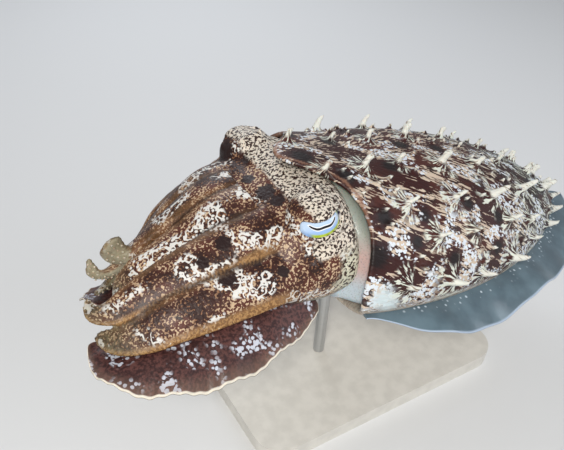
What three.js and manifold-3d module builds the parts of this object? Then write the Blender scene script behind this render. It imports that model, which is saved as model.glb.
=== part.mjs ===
// Broadclub cuttlefish, life size, hovering on a plain display stand.
// Millimetres, +Z up. The head points to -X, the animal's left side is -Y.
// The origin is the centre of the stand base's underside.
import * as THREE from "three";
import { mergeVertices } from "three/addons/utils/BufferGeometryUtils.js";
import Module from "manifold-3d";

const wasm = await Module();
wasm.setup();

// Driving dimensions of the animal
const MANTLE_LENGTH = 320; // from the nape back to the tail
const MANTLE_HALF_WIDTH = 94;
const MANTLE_DOME = 0.79; // height above the fin line, as a share of the half width
const MANTLE_BELLY = 0.3; // depth below the fin line, as a share of the half width
const MANTLE_SLOPE = 0.165; // how fast the fin line falls towards the tail
const MANTLE_WALL = 7; // thickness of the free front rim
const NAPE = new THREE.Vector3(-88, 0, 185); // the neck's place over the stand
const GAP = 0.35; // clearance between neighbouring pieces

const HEAD_HALF_WIDTH = 75;
const EYE_RADIUS = 18;
const SUCKER_RADIUS = 2.2;
const FIN_WIDTH = 27;

// Driving dimensions of the stand
const BASE_LENGTH = 250;
const BASE_WIDTH = 160;
const BASE_THICKNESS = 14;
const BASE_CORNER = 24;
const ROD_RADIUS = 5;
const ROD_PLACES = { front: 62, rear: 190 }; // distances behind the nape

const SIDES = { left: -1, right: 1 };
const TURN = 2 * Math.PI;
const clamp01 = (value) => Math.min(1, Math.max(0, value));
const mix = (a, b, share) => a + (b - a) * share;
const smooth = (value) => clamp01(value) ** 2 * (3 - 2 * clamp01(value));
const bell = (distance, spread) => Math.exp(-((distance / spread) ** 2));
const signedPower = (value, power) => Math.sign(value) * Math.abs(value) ** power;

// A repeatable random number from 0 to 1 for piece number n.
const scatter = (n) => {
  const value = Math.sin(n * 127.1 + 311.7) * 43758.5453;
  return value - Math.floor(value);
};

// Interpolates rows of [position, value, value, ...] smoothly at one position.
function station(rows, position) {
  const last = rows.length - 1;
  const forward = rows[last][0] > rows[0][0];
  let i = 0;
  while (i < last - 1 && (forward ? position > rows[i + 1][0] : position < rows[i + 1][0])) i++;
  const share = clamp01((position - rows[i][0]) / (rows[i + 1][0] - rows[i][0]));
  const eased = mix(share, smooth(share), 0.6);
  return rows[i].slice(1).map((value, k) => mix(value, rows[i + 1][k + 1], eased));
}

// Turns a closed geometry into a solid whose faces point outwards.
function toSolid(geometry) {
  const plain = geometry.index ? geometry.toNonIndexed() : geometry.clone();
  for (const name of Object.keys(plain.attributes)) if (name !== "position") plain.deleteAttribute(name);
  const merged = mergeVertices(plain, 1e-4);
  const corners = [...merged.index.array];
  const kept = corners.filter((_, i) => {
    const [a, b, c] = corners.slice(i - (i % 3), i - (i % 3) + 3);
    return a !== b && b !== c && c !== a;
  });
  const triVerts = new Uint32Array(kept);
  const make = () =>
    new wasm.Manifold(
      new wasm.Mesh({ numProp: 3, vertProperties: merged.attributes.position.array, triVerts }),
    );
  const made = make();
  if (made.volume() > 0) return made;
  for (let i = 0; i < triVerts.length; i += 3) {
    [triVerts[i + 1], triVerts[i + 2]] = [triVerts[i + 2], triVerts[i + 1]];
  }
  return make();
}

// Bends a closed cylinder into a body. place(angle, share, radius) gives each point, with radius 0 at a cap's centre.
function loft(around, along, place) {
  const geometry = new THREE.CylinderGeometry(1, 1, 1, around, along, false);
  const at = geometry.attributes.position;
  const point = new THREE.Vector3();
  for (let i = 0; i < at.count; i++) {
    point.fromBufferAttribute(at, i);
    const radius = Math.hypot(point.x, point.z) > 0.5 ? 1 : 0;
    const angle = Math.round((Math.atan2(point.z, point.x) / TURN) * around) * (TURN / around);
    const placed = place(angle, 0.5 - point.y, radius);
    at.setXYZ(i, placed.x, placed.y, placed.z);
  }
  return toSolid(geometry);
}

// A curved plate of two like faces and a rim: place(u, v, side) gives each point, with side -1 or 1.
function plate(alongU, alongV, place) {
  const sheet = new THREE.PlaneGeometry(1, 1, alongU, alongV);
  const count = sheet.attributes.position.count;
  const points = [];
  for (const side of [1, -1]) {
    for (let i = 0; i < count; i++) {
      const u = sheet.attributes.position.getX(i) + 0.5;
      const v = sheet.attributes.position.getY(i) + 0.5;
      points.push(...place(u, v, side).toArray());
    }
  }
  const faces = [...sheet.index.array];
  const other = [];
  for (let i = 0; i < faces.length; i += 3) other.push(faces[i] + count, faces[i + 2] + count, faces[i + 1] + count);
  const rim = [];
  for (let i = 0; i < alongU; i++) rim.push(i);
  for (let j = 0; j < alongV; j++) rim.push(j * (alongU + 1) + alongU);
  for (let i = alongU; i > 0; i--) rim.push(alongV * (alongU + 1) + i);
  for (let j = alongV; j > 0; j--) rim.push(j * (alongU + 1));
  const walls = [];
  rim.forEach((a, k) => {
    const b = rim[(k + 1) % rim.length];
    walls.push(a, b, b + count, a, b + count, a + count);
  });
  const geometry = new THREE.BufferGeometry();
  geometry.setAttribute("position", new THREE.Float32BufferAttribute(points, 3));
  geometry.setIndex([...faces, ...other, ...walls]);
  return toSolid(geometry);
}

const join = (solids) => wasm.Manifold.union(solids);
const cutAll = (solid, cutters) => cutters.reduce((left, cutter) => left.subtract(cutter), solid);
const largest = (solid) => solid.decompose().sort((a, b) => b.volume() - a.volume())[0];
const ball = (centre, radius, detail = 14) =>
  toSolid(new THREE.SphereGeometry(radius, detail * 2, detail).translate(centre.x, centre.y, centre.z));

// The mantle's outline seen from above: the half width at a distance behind the nape.
const WIDEST = 0.28;
function mantleHalfWidth(x) {
  const share = x / MANTLE_LENGTH;
  if (share < WIDEST) return MANTLE_HALF_WIDTH * (1 - 0.15 * ((WIDEST - share) / WIDEST) ** 2);
  return MANTLE_HALF_WIDTH * Math.max(0, 1 - ((share - WIDEST) / (1 - WIDEST)) ** 2.05) ** 0.72;
}
const finLine = (x) => -23 - MANTLE_SLOPE * x; // height of the widest line
const domeHeight = (x) => mantleHalfWidth(x) * MANTLE_DOME * mix(1.3, 1, smooth((x + 15) / 100));
const bellyDepth = (x) => mantleHalfWidth(x) * MANTLE_BELLY;

// The free front rim reaches forward in a tongue over the head, and comes forward again at the sides.
function rimPlace(angle) {
  const across = Math.cos(angle);
  const above = Math.sin(angle) > 0;
  if (above) return 42 - 38.5 * bell(across, 0.31) - 15 * across ** 6;
  return 27 + 6 * Math.abs(Math.sin(angle));
}

// A point on the mantle's skin: a distance behind the nape, and an angle round the body, 90 degrees at the ridge.
function mantlePoint(x, angle, grow = 0, radius = 1) {
  const up = Math.sin(angle);
  const half = mantleHalfWidth(x) + grow;
  const tall = up > 0 ? domeHeight(x) + grow : bellyDepth(x) + grow;
  return new THREE.Vector3(
    x,
    radius * half * signedPower(Math.cos(angle), 0.88),
    finLine(x) + radius * tall * signedPower(up, 0.92),
  );
}

function mantleNormal(x, angle) {
  const step = 0.02;
  const along = mantlePoint(x + 1, angle).sub(mantlePoint(x - 1, angle));
  const around = mantlePoint(x, angle + step).sub(mantlePoint(x, angle - step));
  const normal = new THREE.Vector3().crossVectors(along, around).normalize();
  const outward = mantlePoint(x, angle).sub(new THREE.Vector3(x, 0, finLine(x)));
  return normal.dot(outward) < 0 ? normal.negate() : normal;
}

const mantleBody = (around, along, grow) =>
  loft(around, along, (angle, share, radius) => {
    const front = radius ? rimPlace(angle) - grow : 34;
    const eased = 1 - (1 - share) ** 1.7;
    const x = mix(front, MANTLE_LENGTH - 0.4, eased);
    const point = mantlePoint(x, angle, grow, radius);
    point.x += share === 1 ? grow + 1 : 0;
    return point;
  });

// One fleshy papilla: a tapered cone that leans and hooks towards the tail.
function papilla(foot, normal, height, base, lean) {
  const back = new THREE.Vector3(1, 0, 0).addScaledVector(normal, -normal.x).normalize();
  const side = new THREE.Vector3().crossVectors(normal, back);
  return loft(6, 2, (angle, share, radius) => {
    const rise = -0.35 * base + (height + 0.35 * base) * share;
    const thick = radius * base * mix(1, 0, share ** 0.8);
    const bend = lean * height * share ** 2;
    return foot
      .clone()
      .addScaledVector(normal, rise)
      .addScaledVector(back, bend + thick * Math.cos(angle))
      .addScaledVector(side, thick * Math.sin(angle) * 0.8);
  });
}

// Places of the papillae: rows that run along the back and one row just above each fin.
const PAPILLA_ROWS = [
  { angle: 78, from: 22, to: 322, count: 8, height: 11, base: 5 },
  { angle: 55, from: 60, to: 326, count: 6, height: 12, base: 6 },
  { angle: 33, from: 90, to: 318, count: 6, height: 9, base: 5 },
  { angle: 9, from: 48, to: 300, count: 7, height: 10, base: 7 },
];
function mantlePapillae() {
  const made = [];
  PAPILLA_ROWS.forEach((row, r) => {
    for (const side of Object.values(SIDES)) {
      for (let k = 0; k < row.count; k++) {
        const seed = r * 97 + k * 7 + (side > 0 ? 3 : 0);
        const place = (k + 0.3 * (r % 2)) / (row.count - 0.6);
        const x = mix(row.from, row.to, place) + 10 * (scatter(seed) - 0.5);
        const tilt = ((row.angle + 7 * (scatter(seed + 1) - 0.5)) * Math.PI) / 180;
        const angle = side < 0 ? Math.PI - tilt : tilt;
        const size = mix(0.75, 1.25, scatter(seed + 2)) * (k < 2 && r === 0 ? 0.8 : 1);
        const [foot, normal] = [mantlePoint(x, angle), mantleNormal(x, angle)];
        made.push(papilla(foot, normal, row.height * size, row.base * size, 0.5));
      }
    }
  });
  return made;
}

// The head's cross sections from the neck forward: place, half width, height above and depth below the middle,
// and the middle's height.
const HEAD_SECTIONS = [
  [42, 62, 44, 40, -5],
  [28, 73, 50, 43, -4],
  [10, HEAD_HALF_WIDTH, 49, 44, -3],
  [-14, 72, 43, 42, -4],
  [-36, 64, 36, 36, -7],
  [-50, 52, 26, 27, -11],
];
function headPoint(x, angle, grow = 0, radius = 1) {
  const [half, top, bottom, middle] = station(HEAD_SECTIONS, x);
  const up = Math.sin(angle);
  const tall = (up > 0 ? top : bottom) + grow;
  const across = signedPower(Math.cos(angle), 0.9);
  // the eyes lift the skin at the upper sides
  const brow = up > 0 ? 9 * bell(x - 10, 20) * bell(Math.abs(across) - 0.62, 0.25) : 0;
  return new THREE.Vector3(
    x,
    radius * (half + grow) * across,
    middle + radius * (tall * signedPower(up, 0.95) + brow),
  );
}
function headBody(around, along, grow) {
  const rear = HEAD_SECTIONS[0][0];
  const front = HEAD_SECTIONS[HEAD_SECTIONS.length - 1][0];
  return loft(around, along, (angle, share, radius) => {
    const x = mix(rear + grow, front - grow, share);
    const ends = Math.sqrt(clamp01(1 - (2 * share - 1) ** 14));
    const point = headPoint(x, angle, grow, radius * mix(0.8, 1, ends));
    if (!radius) point.x += share ? -6 : 3;
    return point;
  });
}

// The neck plugs the mantle's opening as the smooth pale collar.
function neckBody(grow) {
  return loft(24, 4, (angle, share, radius) => {
    const x = mix(20 - grow, 82 + grow, share);
    const shrink = mix(1, 0.75, share ** 4) * mix(0.86, 1, smooth(share * 3));
    return mantlePoint(x, angle, (grow - MANTLE_WALL) * shrink, radius * shrink);
  });
}

// Eyes: a ball in each upper side of the head, below an upper lid that hangs over most of it.
const EYE_PLACE = { x: 5, angle: 44, sunk: 11.5 };
function eyeFrame(side) {
  const angle = (EYE_PLACE.angle * Math.PI) / 180;
  const surface = headPoint(EYE_PLACE.x, side < 0 ? Math.PI - angle : angle);
  const outward = new THREE.Vector3(-0.16, side * 0.8, 0.58).normalize();
  const centre = surface.clone().addScaledVector(outward, -EYE_PLACE.sunk);
  const upward = new THREE.Vector3(0, 0, 1).addScaledVector(outward, -outward.z).normalize();
  return { centre, outward, upward, forward: new THREE.Vector3().crossVectors(outward, upward) };
}
function eyelids(side) {
  const { centre, outward, upward, forward } = eyeFrame(side);
  const tube = (lift, wide, tall) =>
    loft(16, 1, (angle, share, radius) =>
      centre
        .clone()
        .addScaledVector(upward, lift + radius * tall * Math.sin(angle))
        .addScaledVector(forward, radius * wide * Math.cos(angle))
        .addScaledVector(outward, mix(2, 40, share)),
    );
  const shell = ball(centre, EYE_RADIUS + 3, 9).subtract(ball(centre, EYE_RADIUS + GAP, 9));
  const opening = tube(-1.5, 15, 9.5).subtract(tube(11.5, 17, 12.5));
  return largest(shell.subtract(opening).intersect(tube(0, 40, 40)));
}
const eyeball = (side, grow = 0) => ball(eyeFrame(side).centre, EYE_RADIUS + grow, 9);

// The small papillae over the brows and along the head.
function headPapillae() {
  const spots = [[12, 64, 9, 4], [-4, 76, 6, 3], [-4, 18, 6, 4]];
  const made = [];
  for (const side of Object.values(SIDES)) {
    for (const [x, degrees, height, base] of spots) {
      const tilt = (degrees * Math.PI) / 180;
      const angle = side < 0 ? Math.PI - tilt : tilt;
      const foot = headPoint(x, angle);
      const [, , , middle] = station(HEAD_SECTIONS, x);
      const normal = foot.clone().sub(new THREE.Vector3(x, 0, middle)).normalize();
      made.push(papilla(foot, normal, height, base, 0.2));
    }
  }
  return made;
}

// Arms: middle lines of the left side's four arms, from the web forward, with the widths at root and tip.
const ARM_LINES = [
  [[-24, 12.5, 34], [-46, 13, 30], [-72, 14.5, 17], [-94, 17, 10], [-110, 18, 4], [-121, 18, -5], [-126, 16, -15]],
  [
    [-18, 36, 26], [-38, 37, 24], [-63, 38, 19], [-82, 39, 16], [-100, 39, 12],
    [-120, 39, 6], [-137, 38, 1], [-146, 36, 4], [-148, 34, 19],
  ],
  [[-6, 59, 5], [-24, 59, 5], [-60, 60, 4], [-84, 60, 2], [-104, 59, -1], [-121, 56, -7], [-137, 50, -11], [-148, 39, -12]],
  [[-22, 48, -28], [-50, 50, -25], [-80, 51, -23], [-108, 48, -25], [-130, 40, -29], [-144, 27, -27]],
];
const RIGHT_FIRST_LINE = [
  [-24, 12.5, 34], [-46, 13, 30], [-68, 14, 17], [-87, 15, 4], [-100, 15, -3], [-109, 14, -3], [-114, 13, 6], [-112, 12, 18],
];
const ARM_SIZES = [
  { width: 32, tip: 20, above: 9, below: 8, lean: 12 },
  { width: 36, tip: 7, above: 10, below: 9, lean: 26 },
  { width: 39, tip: 16, above: 10, below: 9, lean: 40 },
  { width: 38, tip: 13, above: 8, below: 8, lean: 164 },
];
const ARM_HALVES = [["root", 0, 0.5185], ["tip", 0.5215, 1]]; // each arm's two lengths, as shares of the whole

// The right arms hang lower than the left: towards their tips they are turned about the body's length,
// drawn back and dropped.
const RIGHT_FOLD = 26;
const RIGHT_BACK = 22;
const RIGHT_DROP = 16;
const turned = (x, side) => (side > 0 ? smooth((-20 - x) / 100) : 0);
function hang([x, y, z], side) {
  const share = turned(x, side);
  const fold = (RIGHT_FOLD * Math.PI * share) / 180;
  return new THREE.Vector3(
    x + RIGHT_BACK * share,
    side * (y * Math.cos(fold) + z * Math.sin(fold)),
    z * Math.cos(fold) - y * Math.sin(fold) - RIGHT_DROP * share,
  );
}

const smoothLine = (points) => new THREE.CatmullRomCurve3(points, false, "centripetal");
const curveThrough = (rows, side) => smoothLine(rows.map((row) => hang(row, side)));
const ARM_CURVES = Object.fromEntries(
  Object.values(SIDES).map((side) => [side, ARM_LINES.map((rows) => curveThrough(rows, side))]),
);
ARM_CURVES[SIDES.right][0] = smoothLine(RIGHT_FIRST_LINE.map((row) => new THREE.Vector3(...row)));

// The arm's own directions at a share of its length: along it, away from the mouth, and across.
function armFrame(number, side, share) {
  const curve = ARM_CURVES[side][number];
  const at = clamp01(share);
  const middle = curve.getPointAt(at);
  const along = curve.getTangentAt(at);
  const size = ARM_SIZES[number];
  const lean = (size.lean + RIGHT_FOLD * turned(middle.x, side)) * (Math.PI / 180);
  const outward = new THREE.Vector3(0, side * Math.sin(lean), Math.cos(lean));
  outward.addScaledVector(along, -outward.dot(along)).normalize();
  const across = new THREE.Vector3().crossVectors(along, outward).normalize();
  const round = Math.sqrt(clamp01(1 - at ** 14));
  const taper = round * mix(1, size.tip / size.width, at ** 2.4);
  return { middle, along, outward, across, width: taper * size.width, above: taper * size.above, below: taper * size.below };
}

function armBody(number, side, from, to, along, grow = 0) {
  return loft(10, along, (angle, part, radius) => {
    const share = mix(from, to, part);
    const { middle, along: ahead, outward, across, width, above, below } = armFrame(number, side, share);
    const up = Math.sin(angle);
    const depth = (up > 0 ? above : below) + grow;
    return middle
      .clone()
      .addScaledVector(ahead, grow * (2 * part - 1))
      .addScaledVector(across, radius * (width / 2 + grow) * Math.cos(angle))
      .addScaledVector(outward, radius * depth * up);
  });
}

const armGrown = (number, side) =>
  join(ARM_HALVES.map(([, from, to]) => armBody(number, side, from, to, 7, GAP + 0.05)));

// Suckers in two staggered rows on the side that faces the mouth, smaller towards the tip.
const SUCKERS_PER_ARM = 8;
function armSuckers(number, side, from, to) {
  const made = [];
  for (let row = 0; row < 2; row++) {
    for (let k = 0; k < SUCKERS_PER_ARM; k++) {
      const share = 0.3 + (0.67 * (k + 0.5 * row)) / SUCKERS_PER_ARM;
      const margin = 0.018;
      if (share < from + margin || share > to - margin) continue;
      const { middle, along, outward, across, width, below } = armFrame(number, side, share);
      const size = SUCKER_RADIUS * mix(1.1, 0.5, share);
      const foot = middle.clone().addScaledVector(across, (row - 0.5) * width * 0.36);
      made.push(
        loft(6, 1, (angle, part, radius) =>
          foot
            .clone()
            .addScaledVector(outward, -mix(below * 0.4, below + size * 0.8, part))
            .addScaledVector(along, radius * size * mix(0.8, 1.1, part) * Math.cos(angle))
            .addScaledVector(across, radius * size * mix(0.8, 1.1, part) * Math.sin(angle)),
        ),
      );
    }
  }
  return made;
}

// The keel: the broad swimming skirt on the outer side of each lowest arm, with a wavy edge.
const KEEL_ROOT = [[-4, 62, -16], [-40, 64, -14], [-75, 63, -12], [-104, 59, -15], [-130, 49, -23], [-143, 36, -24]];
const KEEL_EDGE = [[8, 70, -32], [-26, 86, -32], [-72, 98, -33], [-108, 97, -28], [-136, 88, -23], [-156, 66, -19], [-156, 38, -16]];
const KEEL_CURVES = Object.fromEntries(
  Object.values(SIDES).map((side) => [side, [curveThrough(KEEL_ROOT, side), curveThrough(KEEL_EDGE, side)]]),
);
function keelPoint(side, u, v, face) {
  const [root, edge] = KEEL_CURVES[side].map((curve) => curve.getPointAt(clamp01(u)));
  const point = root.lerp(edge, v);
  const wave = 2.2 * v ** 3 * Math.sin(u * 34 + side) + 4 * Math.sin(Math.PI * v) * Math.sin(Math.PI * u);
  point.z += wave + face * mix(1.7, 0.6, v);
  return point;
}
const KEEL_HALVES = [["rear", 0, 0.499], ["front", 0.501, 1]];
const keelBody = (side, from, to, grow = 0) =>
  plate(10, 3, (u, v, face) => {
    const point = keelPoint(side, mix(from, to, u), v, face);
    point.z += face * grow;
    return point;
  });

// The fin: a thin undulating frill from behind the rim right round to the tail.
const FIN_FRONT = 30;
const FIN_SPLIT = 0.5;
function finPoint(side, u, v, face) {
  const x = mix(FIN_FRONT, MANTLE_LENGTH - 0.5, 1 - (1 - u) ** 1.3);
  const slope = (mantleHalfWidth(x) - mantleHalfWidth(x - 1)) / 1;
  const share = x / MANTLE_LENGTH;
  const turn = mix(Math.atan(-slope), 1.35, smooth((share - 0.93) / 0.07));
  const width = mix(2, FIN_WIDTH, smooth((share - 0.1) / 0.2)) - 5 * smooth((share - 0.85) / 0.15);
  const reach = mix(-5, width, v);
  const wave = 5 * v * Math.sin(share * 17 - 2.4) + 1.2 * v * v * Math.sin(share * 52);
  const grown = smooth((share - 0.1) / 0.14);
  const drop = 8 * Math.sqrt(clamp01(mantleHalfWidth(x) / MANTLE_HALF_WIDTH)) + 9 * v * v * grown;
  return new THREE.Vector3(
    x + Math.sin(turn) * reach,
    side * Math.max(0.5, mantleHalfWidth(x) - 3 * (1 - v) + Math.cos(turn) * reach),
    finLine(x) - drop + wave * grown + face * mix(1.9, 0.55, v),
  );
}
const finBody = (side, from, to) => plate(13, 3, (u, v, face) => finPoint(side, mix(from, to, u), v, face));

// The funnel under the head: a tapered tube with an open mouth.
function funnelBody(grow = 0) {
  const curve = new THREE.CatmullRomCurve3([
    new THREE.Vector3(44, 0, -34),
    new THREE.Vector3(14, 0, -43),
    new THREE.Vector3(-14, 0, -51),
    new THREE.Vector3(-40, 0, -53),
  ]);
  const tube = (radiusAt, from, to) =>
    loft(14, 6, (angle, share, radius) => {
      const at = mix(from, to, share);
      const middle = curve.getPointAt(clamp01(at));
      const along = curve.getTangentAt(clamp01(at));
      if (at > 1) middle.addScaledVector(along, (at - 1) * curve.getLength());
      const up = new THREE.Vector3(along.z, 0, -along.x).normalize();
      const wide = radius * radiusAt(at);
      return middle.addScaledVector(up, wide * 0.72 * Math.sin(angle)).add(new THREE.Vector3(0, wide * Math.cos(angle), 0));
    });
  const outside = tube((at) => mix(22, 11, at ** 0.8) + grow, 0, 1);
  return grow ? outside : outside.subtract(tube((at) => mix(12, 8.5, at), 0.62, 1.05));
}

// The mouth: a low fleshy ring of lips round the dark tip of the beak, between the arms.
function mouthBody(grow = 0) {
  const centre = new THREE.Vector3(-56, 0, -12);
  const cushion = loft(16, 6, (angle, share, radius) => {
    const rounded = Math.sqrt(clamp01(1 - (share * 0.98) ** 3));
    const wide = grow + 17 * rounded * (1 + 0.07 * Math.cos(7 * angle) * share);
    return new THREE.Vector3(
      centre.x + 10 - (22 + grow) * share,
      centre.y + radius * wide * Math.cos(angle),
      centre.z + radius * wide * 0.85 * Math.sin(angle),
    );
  });
  const pit = ball(new THREE.Vector3(centre.x - 13, 0, centre.z), 5.5, 8);
  return grow ? cushion : cushion.subtract(pit);
}

// The stand: a low base with rounded corners and two rods.
function standBase() {
  const [l, w, r] = [BASE_LENGTH / 2, BASE_WIDTH / 2, BASE_CORNER];
  const outline = new THREE.Shape();
  outline.moveTo(-l + r, -w);
  outline.lineTo(l - r, -w);
  outline.absarc(l - r, -w + r, r, -Math.PI / 2, 0);
  outline.absarc(l - r, w - r, r, 0, Math.PI / 2);
  outline.absarc(-l + r, w - r, r, Math.PI / 2, Math.PI);
  outline.absarc(-l + r, -w + r, r, Math.PI, 1.5 * Math.PI);
  return toSolid(new THREE.ExtrudeGeometry(outline, { depth: BASE_THICKNESS, bevelEnabled: false, curveSegments: 6 }));
}
function standRod(behindNape) {
  const foot = BASE_THICKNESS + GAP;
  const top = NAPE.z + finLine(behindNape);
  const rod = new THREE.CylinderGeometry(ROD_RADIUS, ROD_RADIUS, top - foot, 16);
  rod.rotateX(Math.PI / 2);
  rod.translate(behindNape, 0, (top + foot) / 2 - NAPE.z);
  return toSolid(rod);
}

// Materials
const finish = (color, roughness, metalness = 0) => new THREE.MeshStandardMaterial({ color, roughness, metalness });
const materials = {
  skin: finish(0x6b4636, 0.5),
  fin: finish(0x8d9a96, 0.4),
  collar: finish(0xb4bdbf, 0.4),
  eye: finish(0x9ec4e8, 0.1),
  pale: finish(0xcabdb0, 0.5),
  base: finish(0xc9c6c0, 0.5),
  rod: finish(0xb9bcc0, 0.3, 1),
};

const animal = new THREE.Group();
animal.name = "cuttlefish";
animal.position.copy(NAPE);
const stand = new THREE.Group();
stand.name = "stand";

function addMesh(group, name, solid, material) {
  const mesh = largest(solid).getMesh();
  const geometry = new THREE.BufferGeometry();
  geometry.setAttribute("position", new THREE.BufferAttribute(new Float32Array(mesh.vertProperties), 3));
  geometry.setIndex(new THREE.BufferAttribute(new Uint32Array(mesh.triVerts), 1));
  const made = new THREE.Mesh(geometry, material);
  made.name = name;
  group.add(made);
}

const headPlain = headBody(24, 12, 0);
const headGrown = headBody(24, 12, GAP + 0.1);
const neckGrown = neckBody(GAP);
const funnelGrown = funnelBody(GAP + 0.1);
const mouthGrown = mouthBody(GAP + 0.1);
const mantleGrown = mantleBody(28, 14, GAP);
const rodSolids = Object.fromEntries(Object.entries(ROD_PLACES).map(([name, x]) => [name, standRod(x)]));

const mantle = cutAll(join([mantleBody(28, 14, 0), ...mantlePapillae()]), [
  neckGrown,
  headBody(24, 12, 1.2),
  funnelGrown,
]);
addMesh(animal, "mantle", mantle, materials.skin);

for (const [name, side] of Object.entries(SIDES)) {
  const cutters = [mantleGrown, ...mantlePapillae()];
  const seam = 0.0012;
  addMesh(animal, `fin_${name}_front`, cutAll(finBody(side, 0, FIN_SPLIT - seam), cutters), materials.fin);
  addMesh(animal, `fin_${name}_rear`, cutAll(finBody(side, FIN_SPLIT + seam, 1), cutters), materials.fin);
}

const eyes = Object.values(SIDES).map((side) => eyeball(side, GAP));
addMesh(animal, "neck", cutAll(neckBody(0), [headGrown, funnelGrown]), materials.collar);
addMesh(
  animal,
  "head",
  cutAll(join([cutAll(join([headPlain, ...headPapillae()]), eyes), ...Object.values(SIDES).map(eyelids)]), [funnelGrown]),
  materials.skin,
);
for (const [name, side] of Object.entries(SIDES)) addMesh(animal, `eye_${name}`, eyeball(side), materials.eye);
addMesh(animal, "funnel", funnelBody(), materials.pale);

// Each arm gives way to the arms above it, and its suckers give way to every other arm and the keels.
const limbs = [];
for (const [name, side] of Object.entries(SIDES)) {
  for (let number = 0; number < 4; number++) {
    limbs.push({ name: `arm_${name}_${number + 1}`, side, number, grown: armGrown(number, side) });
  }
}
const placedSuckers = [];
const keelGrown = (side) => join(KEEL_HALVES.map(([, from, to]) => keelBody(side, from, to, GAP + 0.05)));
const keelsGrown = Object.fromEntries(Object.values(SIDES).map((side) => [side, keelGrown(side)]));
for (const limb of limbs) {
  const { name, side, number } = limb;
  const earlier = limbs.slice(0, limbs.indexOf(limb)).map((other) => other.grown);
  const others = limbs.filter((other) => other !== limb).map((other) => other.grown);
  const ownSuckers = [];
  for (const [half, from, to] of ARM_HALVES) {
    const body = cutAll(armBody(number, side, from, to, 7), [headGrown, ...earlier]);
    const kept = armSuckers(number, side, from, to)
      .map((sucker) => cutAll(sucker, [headGrown, mouthGrown, keelsGrown[side], ...others]))
      .filter((sucker) => placedSuckers.every((other) => sucker.minGap(other, 1) > GAP));
    ownSuckers.push(...kept);
    addMesh(animal, `${name}_${half}`, join([body, ...kept]), materials.skin);
  }
  placedSuckers.push(...ownSuckers);
}
for (const [name, side] of Object.entries(SIDES)) {
  const arms = limbs.filter((limb) => limb.side === side).map((limb) => limb.grown);
  const taken = [headGrown, neckGrown, funnelGrown, ...arms];
  for (const [half, from, to] of KEEL_HALVES) {
    addMesh(animal, `keel_${name}_${half}`, cutAll(keelBody(side, from, to), taken), materials.skin);
  }
}

const armsGrown = limbs.map((limb) => limb.grown);
addMesh(animal, "mouth", cutAll(mouthBody(), [headGrown, ...armsGrown]), materials.pale);
addMesh(stand, "stand_base", standBase(), materials.base);
for (const [name, rod] of Object.entries(rodSolids)) {
  const placed = rod.subtract(mantleGrown).translate([NAPE.x, NAPE.y, NAPE.z]);
  addMesh(stand, `stand_rod_${name}`, placed, materials.rod);
}

const part = new THREE.Group();
part.add(animal, stand);
export default part;
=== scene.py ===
# %% [markdown]
# A broadclub cuttlefish, life size, on a plain display stand. It could be sculpted by
# hand, but here each form is a formula on a grid, so that every size can be read and
# changed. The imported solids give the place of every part. They are loaded first, and
# every piece made below is in the same frame, in metres, so nothing has to be fitted.

# %% Load the solids
import bpy
import numpy as np
from mathutils import Matrix, Vector


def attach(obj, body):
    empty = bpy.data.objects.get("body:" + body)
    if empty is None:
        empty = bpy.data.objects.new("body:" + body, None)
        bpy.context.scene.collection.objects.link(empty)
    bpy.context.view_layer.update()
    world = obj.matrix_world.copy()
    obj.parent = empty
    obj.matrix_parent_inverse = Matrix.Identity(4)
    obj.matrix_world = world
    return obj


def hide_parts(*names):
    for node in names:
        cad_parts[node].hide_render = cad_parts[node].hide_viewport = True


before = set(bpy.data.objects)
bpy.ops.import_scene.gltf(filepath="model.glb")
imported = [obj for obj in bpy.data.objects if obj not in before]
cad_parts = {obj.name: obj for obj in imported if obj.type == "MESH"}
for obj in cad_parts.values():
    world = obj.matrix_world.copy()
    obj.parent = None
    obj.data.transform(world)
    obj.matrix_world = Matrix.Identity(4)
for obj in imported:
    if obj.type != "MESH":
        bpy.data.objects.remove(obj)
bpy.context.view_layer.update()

print("solids:", len(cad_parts), "nodes")

# %% [markdown]
# Lengths are worked out in millimetres from the animal's nape, because that is how
# an animal is measured. One step at the end turns them into metres over the stand.
# The small helpers here are the blends that every shape below is written with.

# %% Sizes and blends
NAPE = np.array([-88.0, 0.0, 185.0])
MANTLE_LENGTH = 320.0
MANTLE_HALF_WIDTH = 94.0
LEFT, RIGHT = -1, 1
SIDES = {"left": LEFT, "right": RIGHT}


def metres(points):
    """Millimetres from the nape become metres from the stand's underside."""
    return (np.asarray(points, float) + NAPE) / 1000.0


def lerp(a, b, share):
    """A straight blend: a + (b - a) * share."""
    return a + (b - a) * share


def ease(value):
    """A smooth step: 0 below 0, 1 above 1, and 3v2 - 2v3 between."""
    v = np.clip(value, 0, 1)
    return v * v * (3 - 2 * v)


def bell(distance, spread):
    """A bell curve: e to the power of minus (distance / spread) squared."""
    return np.exp(-((distance / spread) ** 2))


def keep_sign_power(value, power):
    """The size of a value raised to a power, with its sign kept."""
    return np.sign(value) * np.abs(value) ** power


def unit(vectors):
    """Vectors divided by their own lengths."""
    return vectors / np.maximum(np.linalg.norm(vectors, axis=-1, keepdims=True), 1e-9)


print("mantle:", MANTLE_LENGTH, "mm long and", 2 * MANTLE_HALF_WIDTH, "mm wide")

# %% [markdown]
# The camera comes first, so that each later step can be looked at from the angle of
# the photograph. It stands to the animal's left and in front, half a metre away, and
# looks down on it. Its angles could be found by eye. They were fitted to the animal's
# outline. A focal length in pixels becomes a lens for a 36 mm wide sensor.

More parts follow.
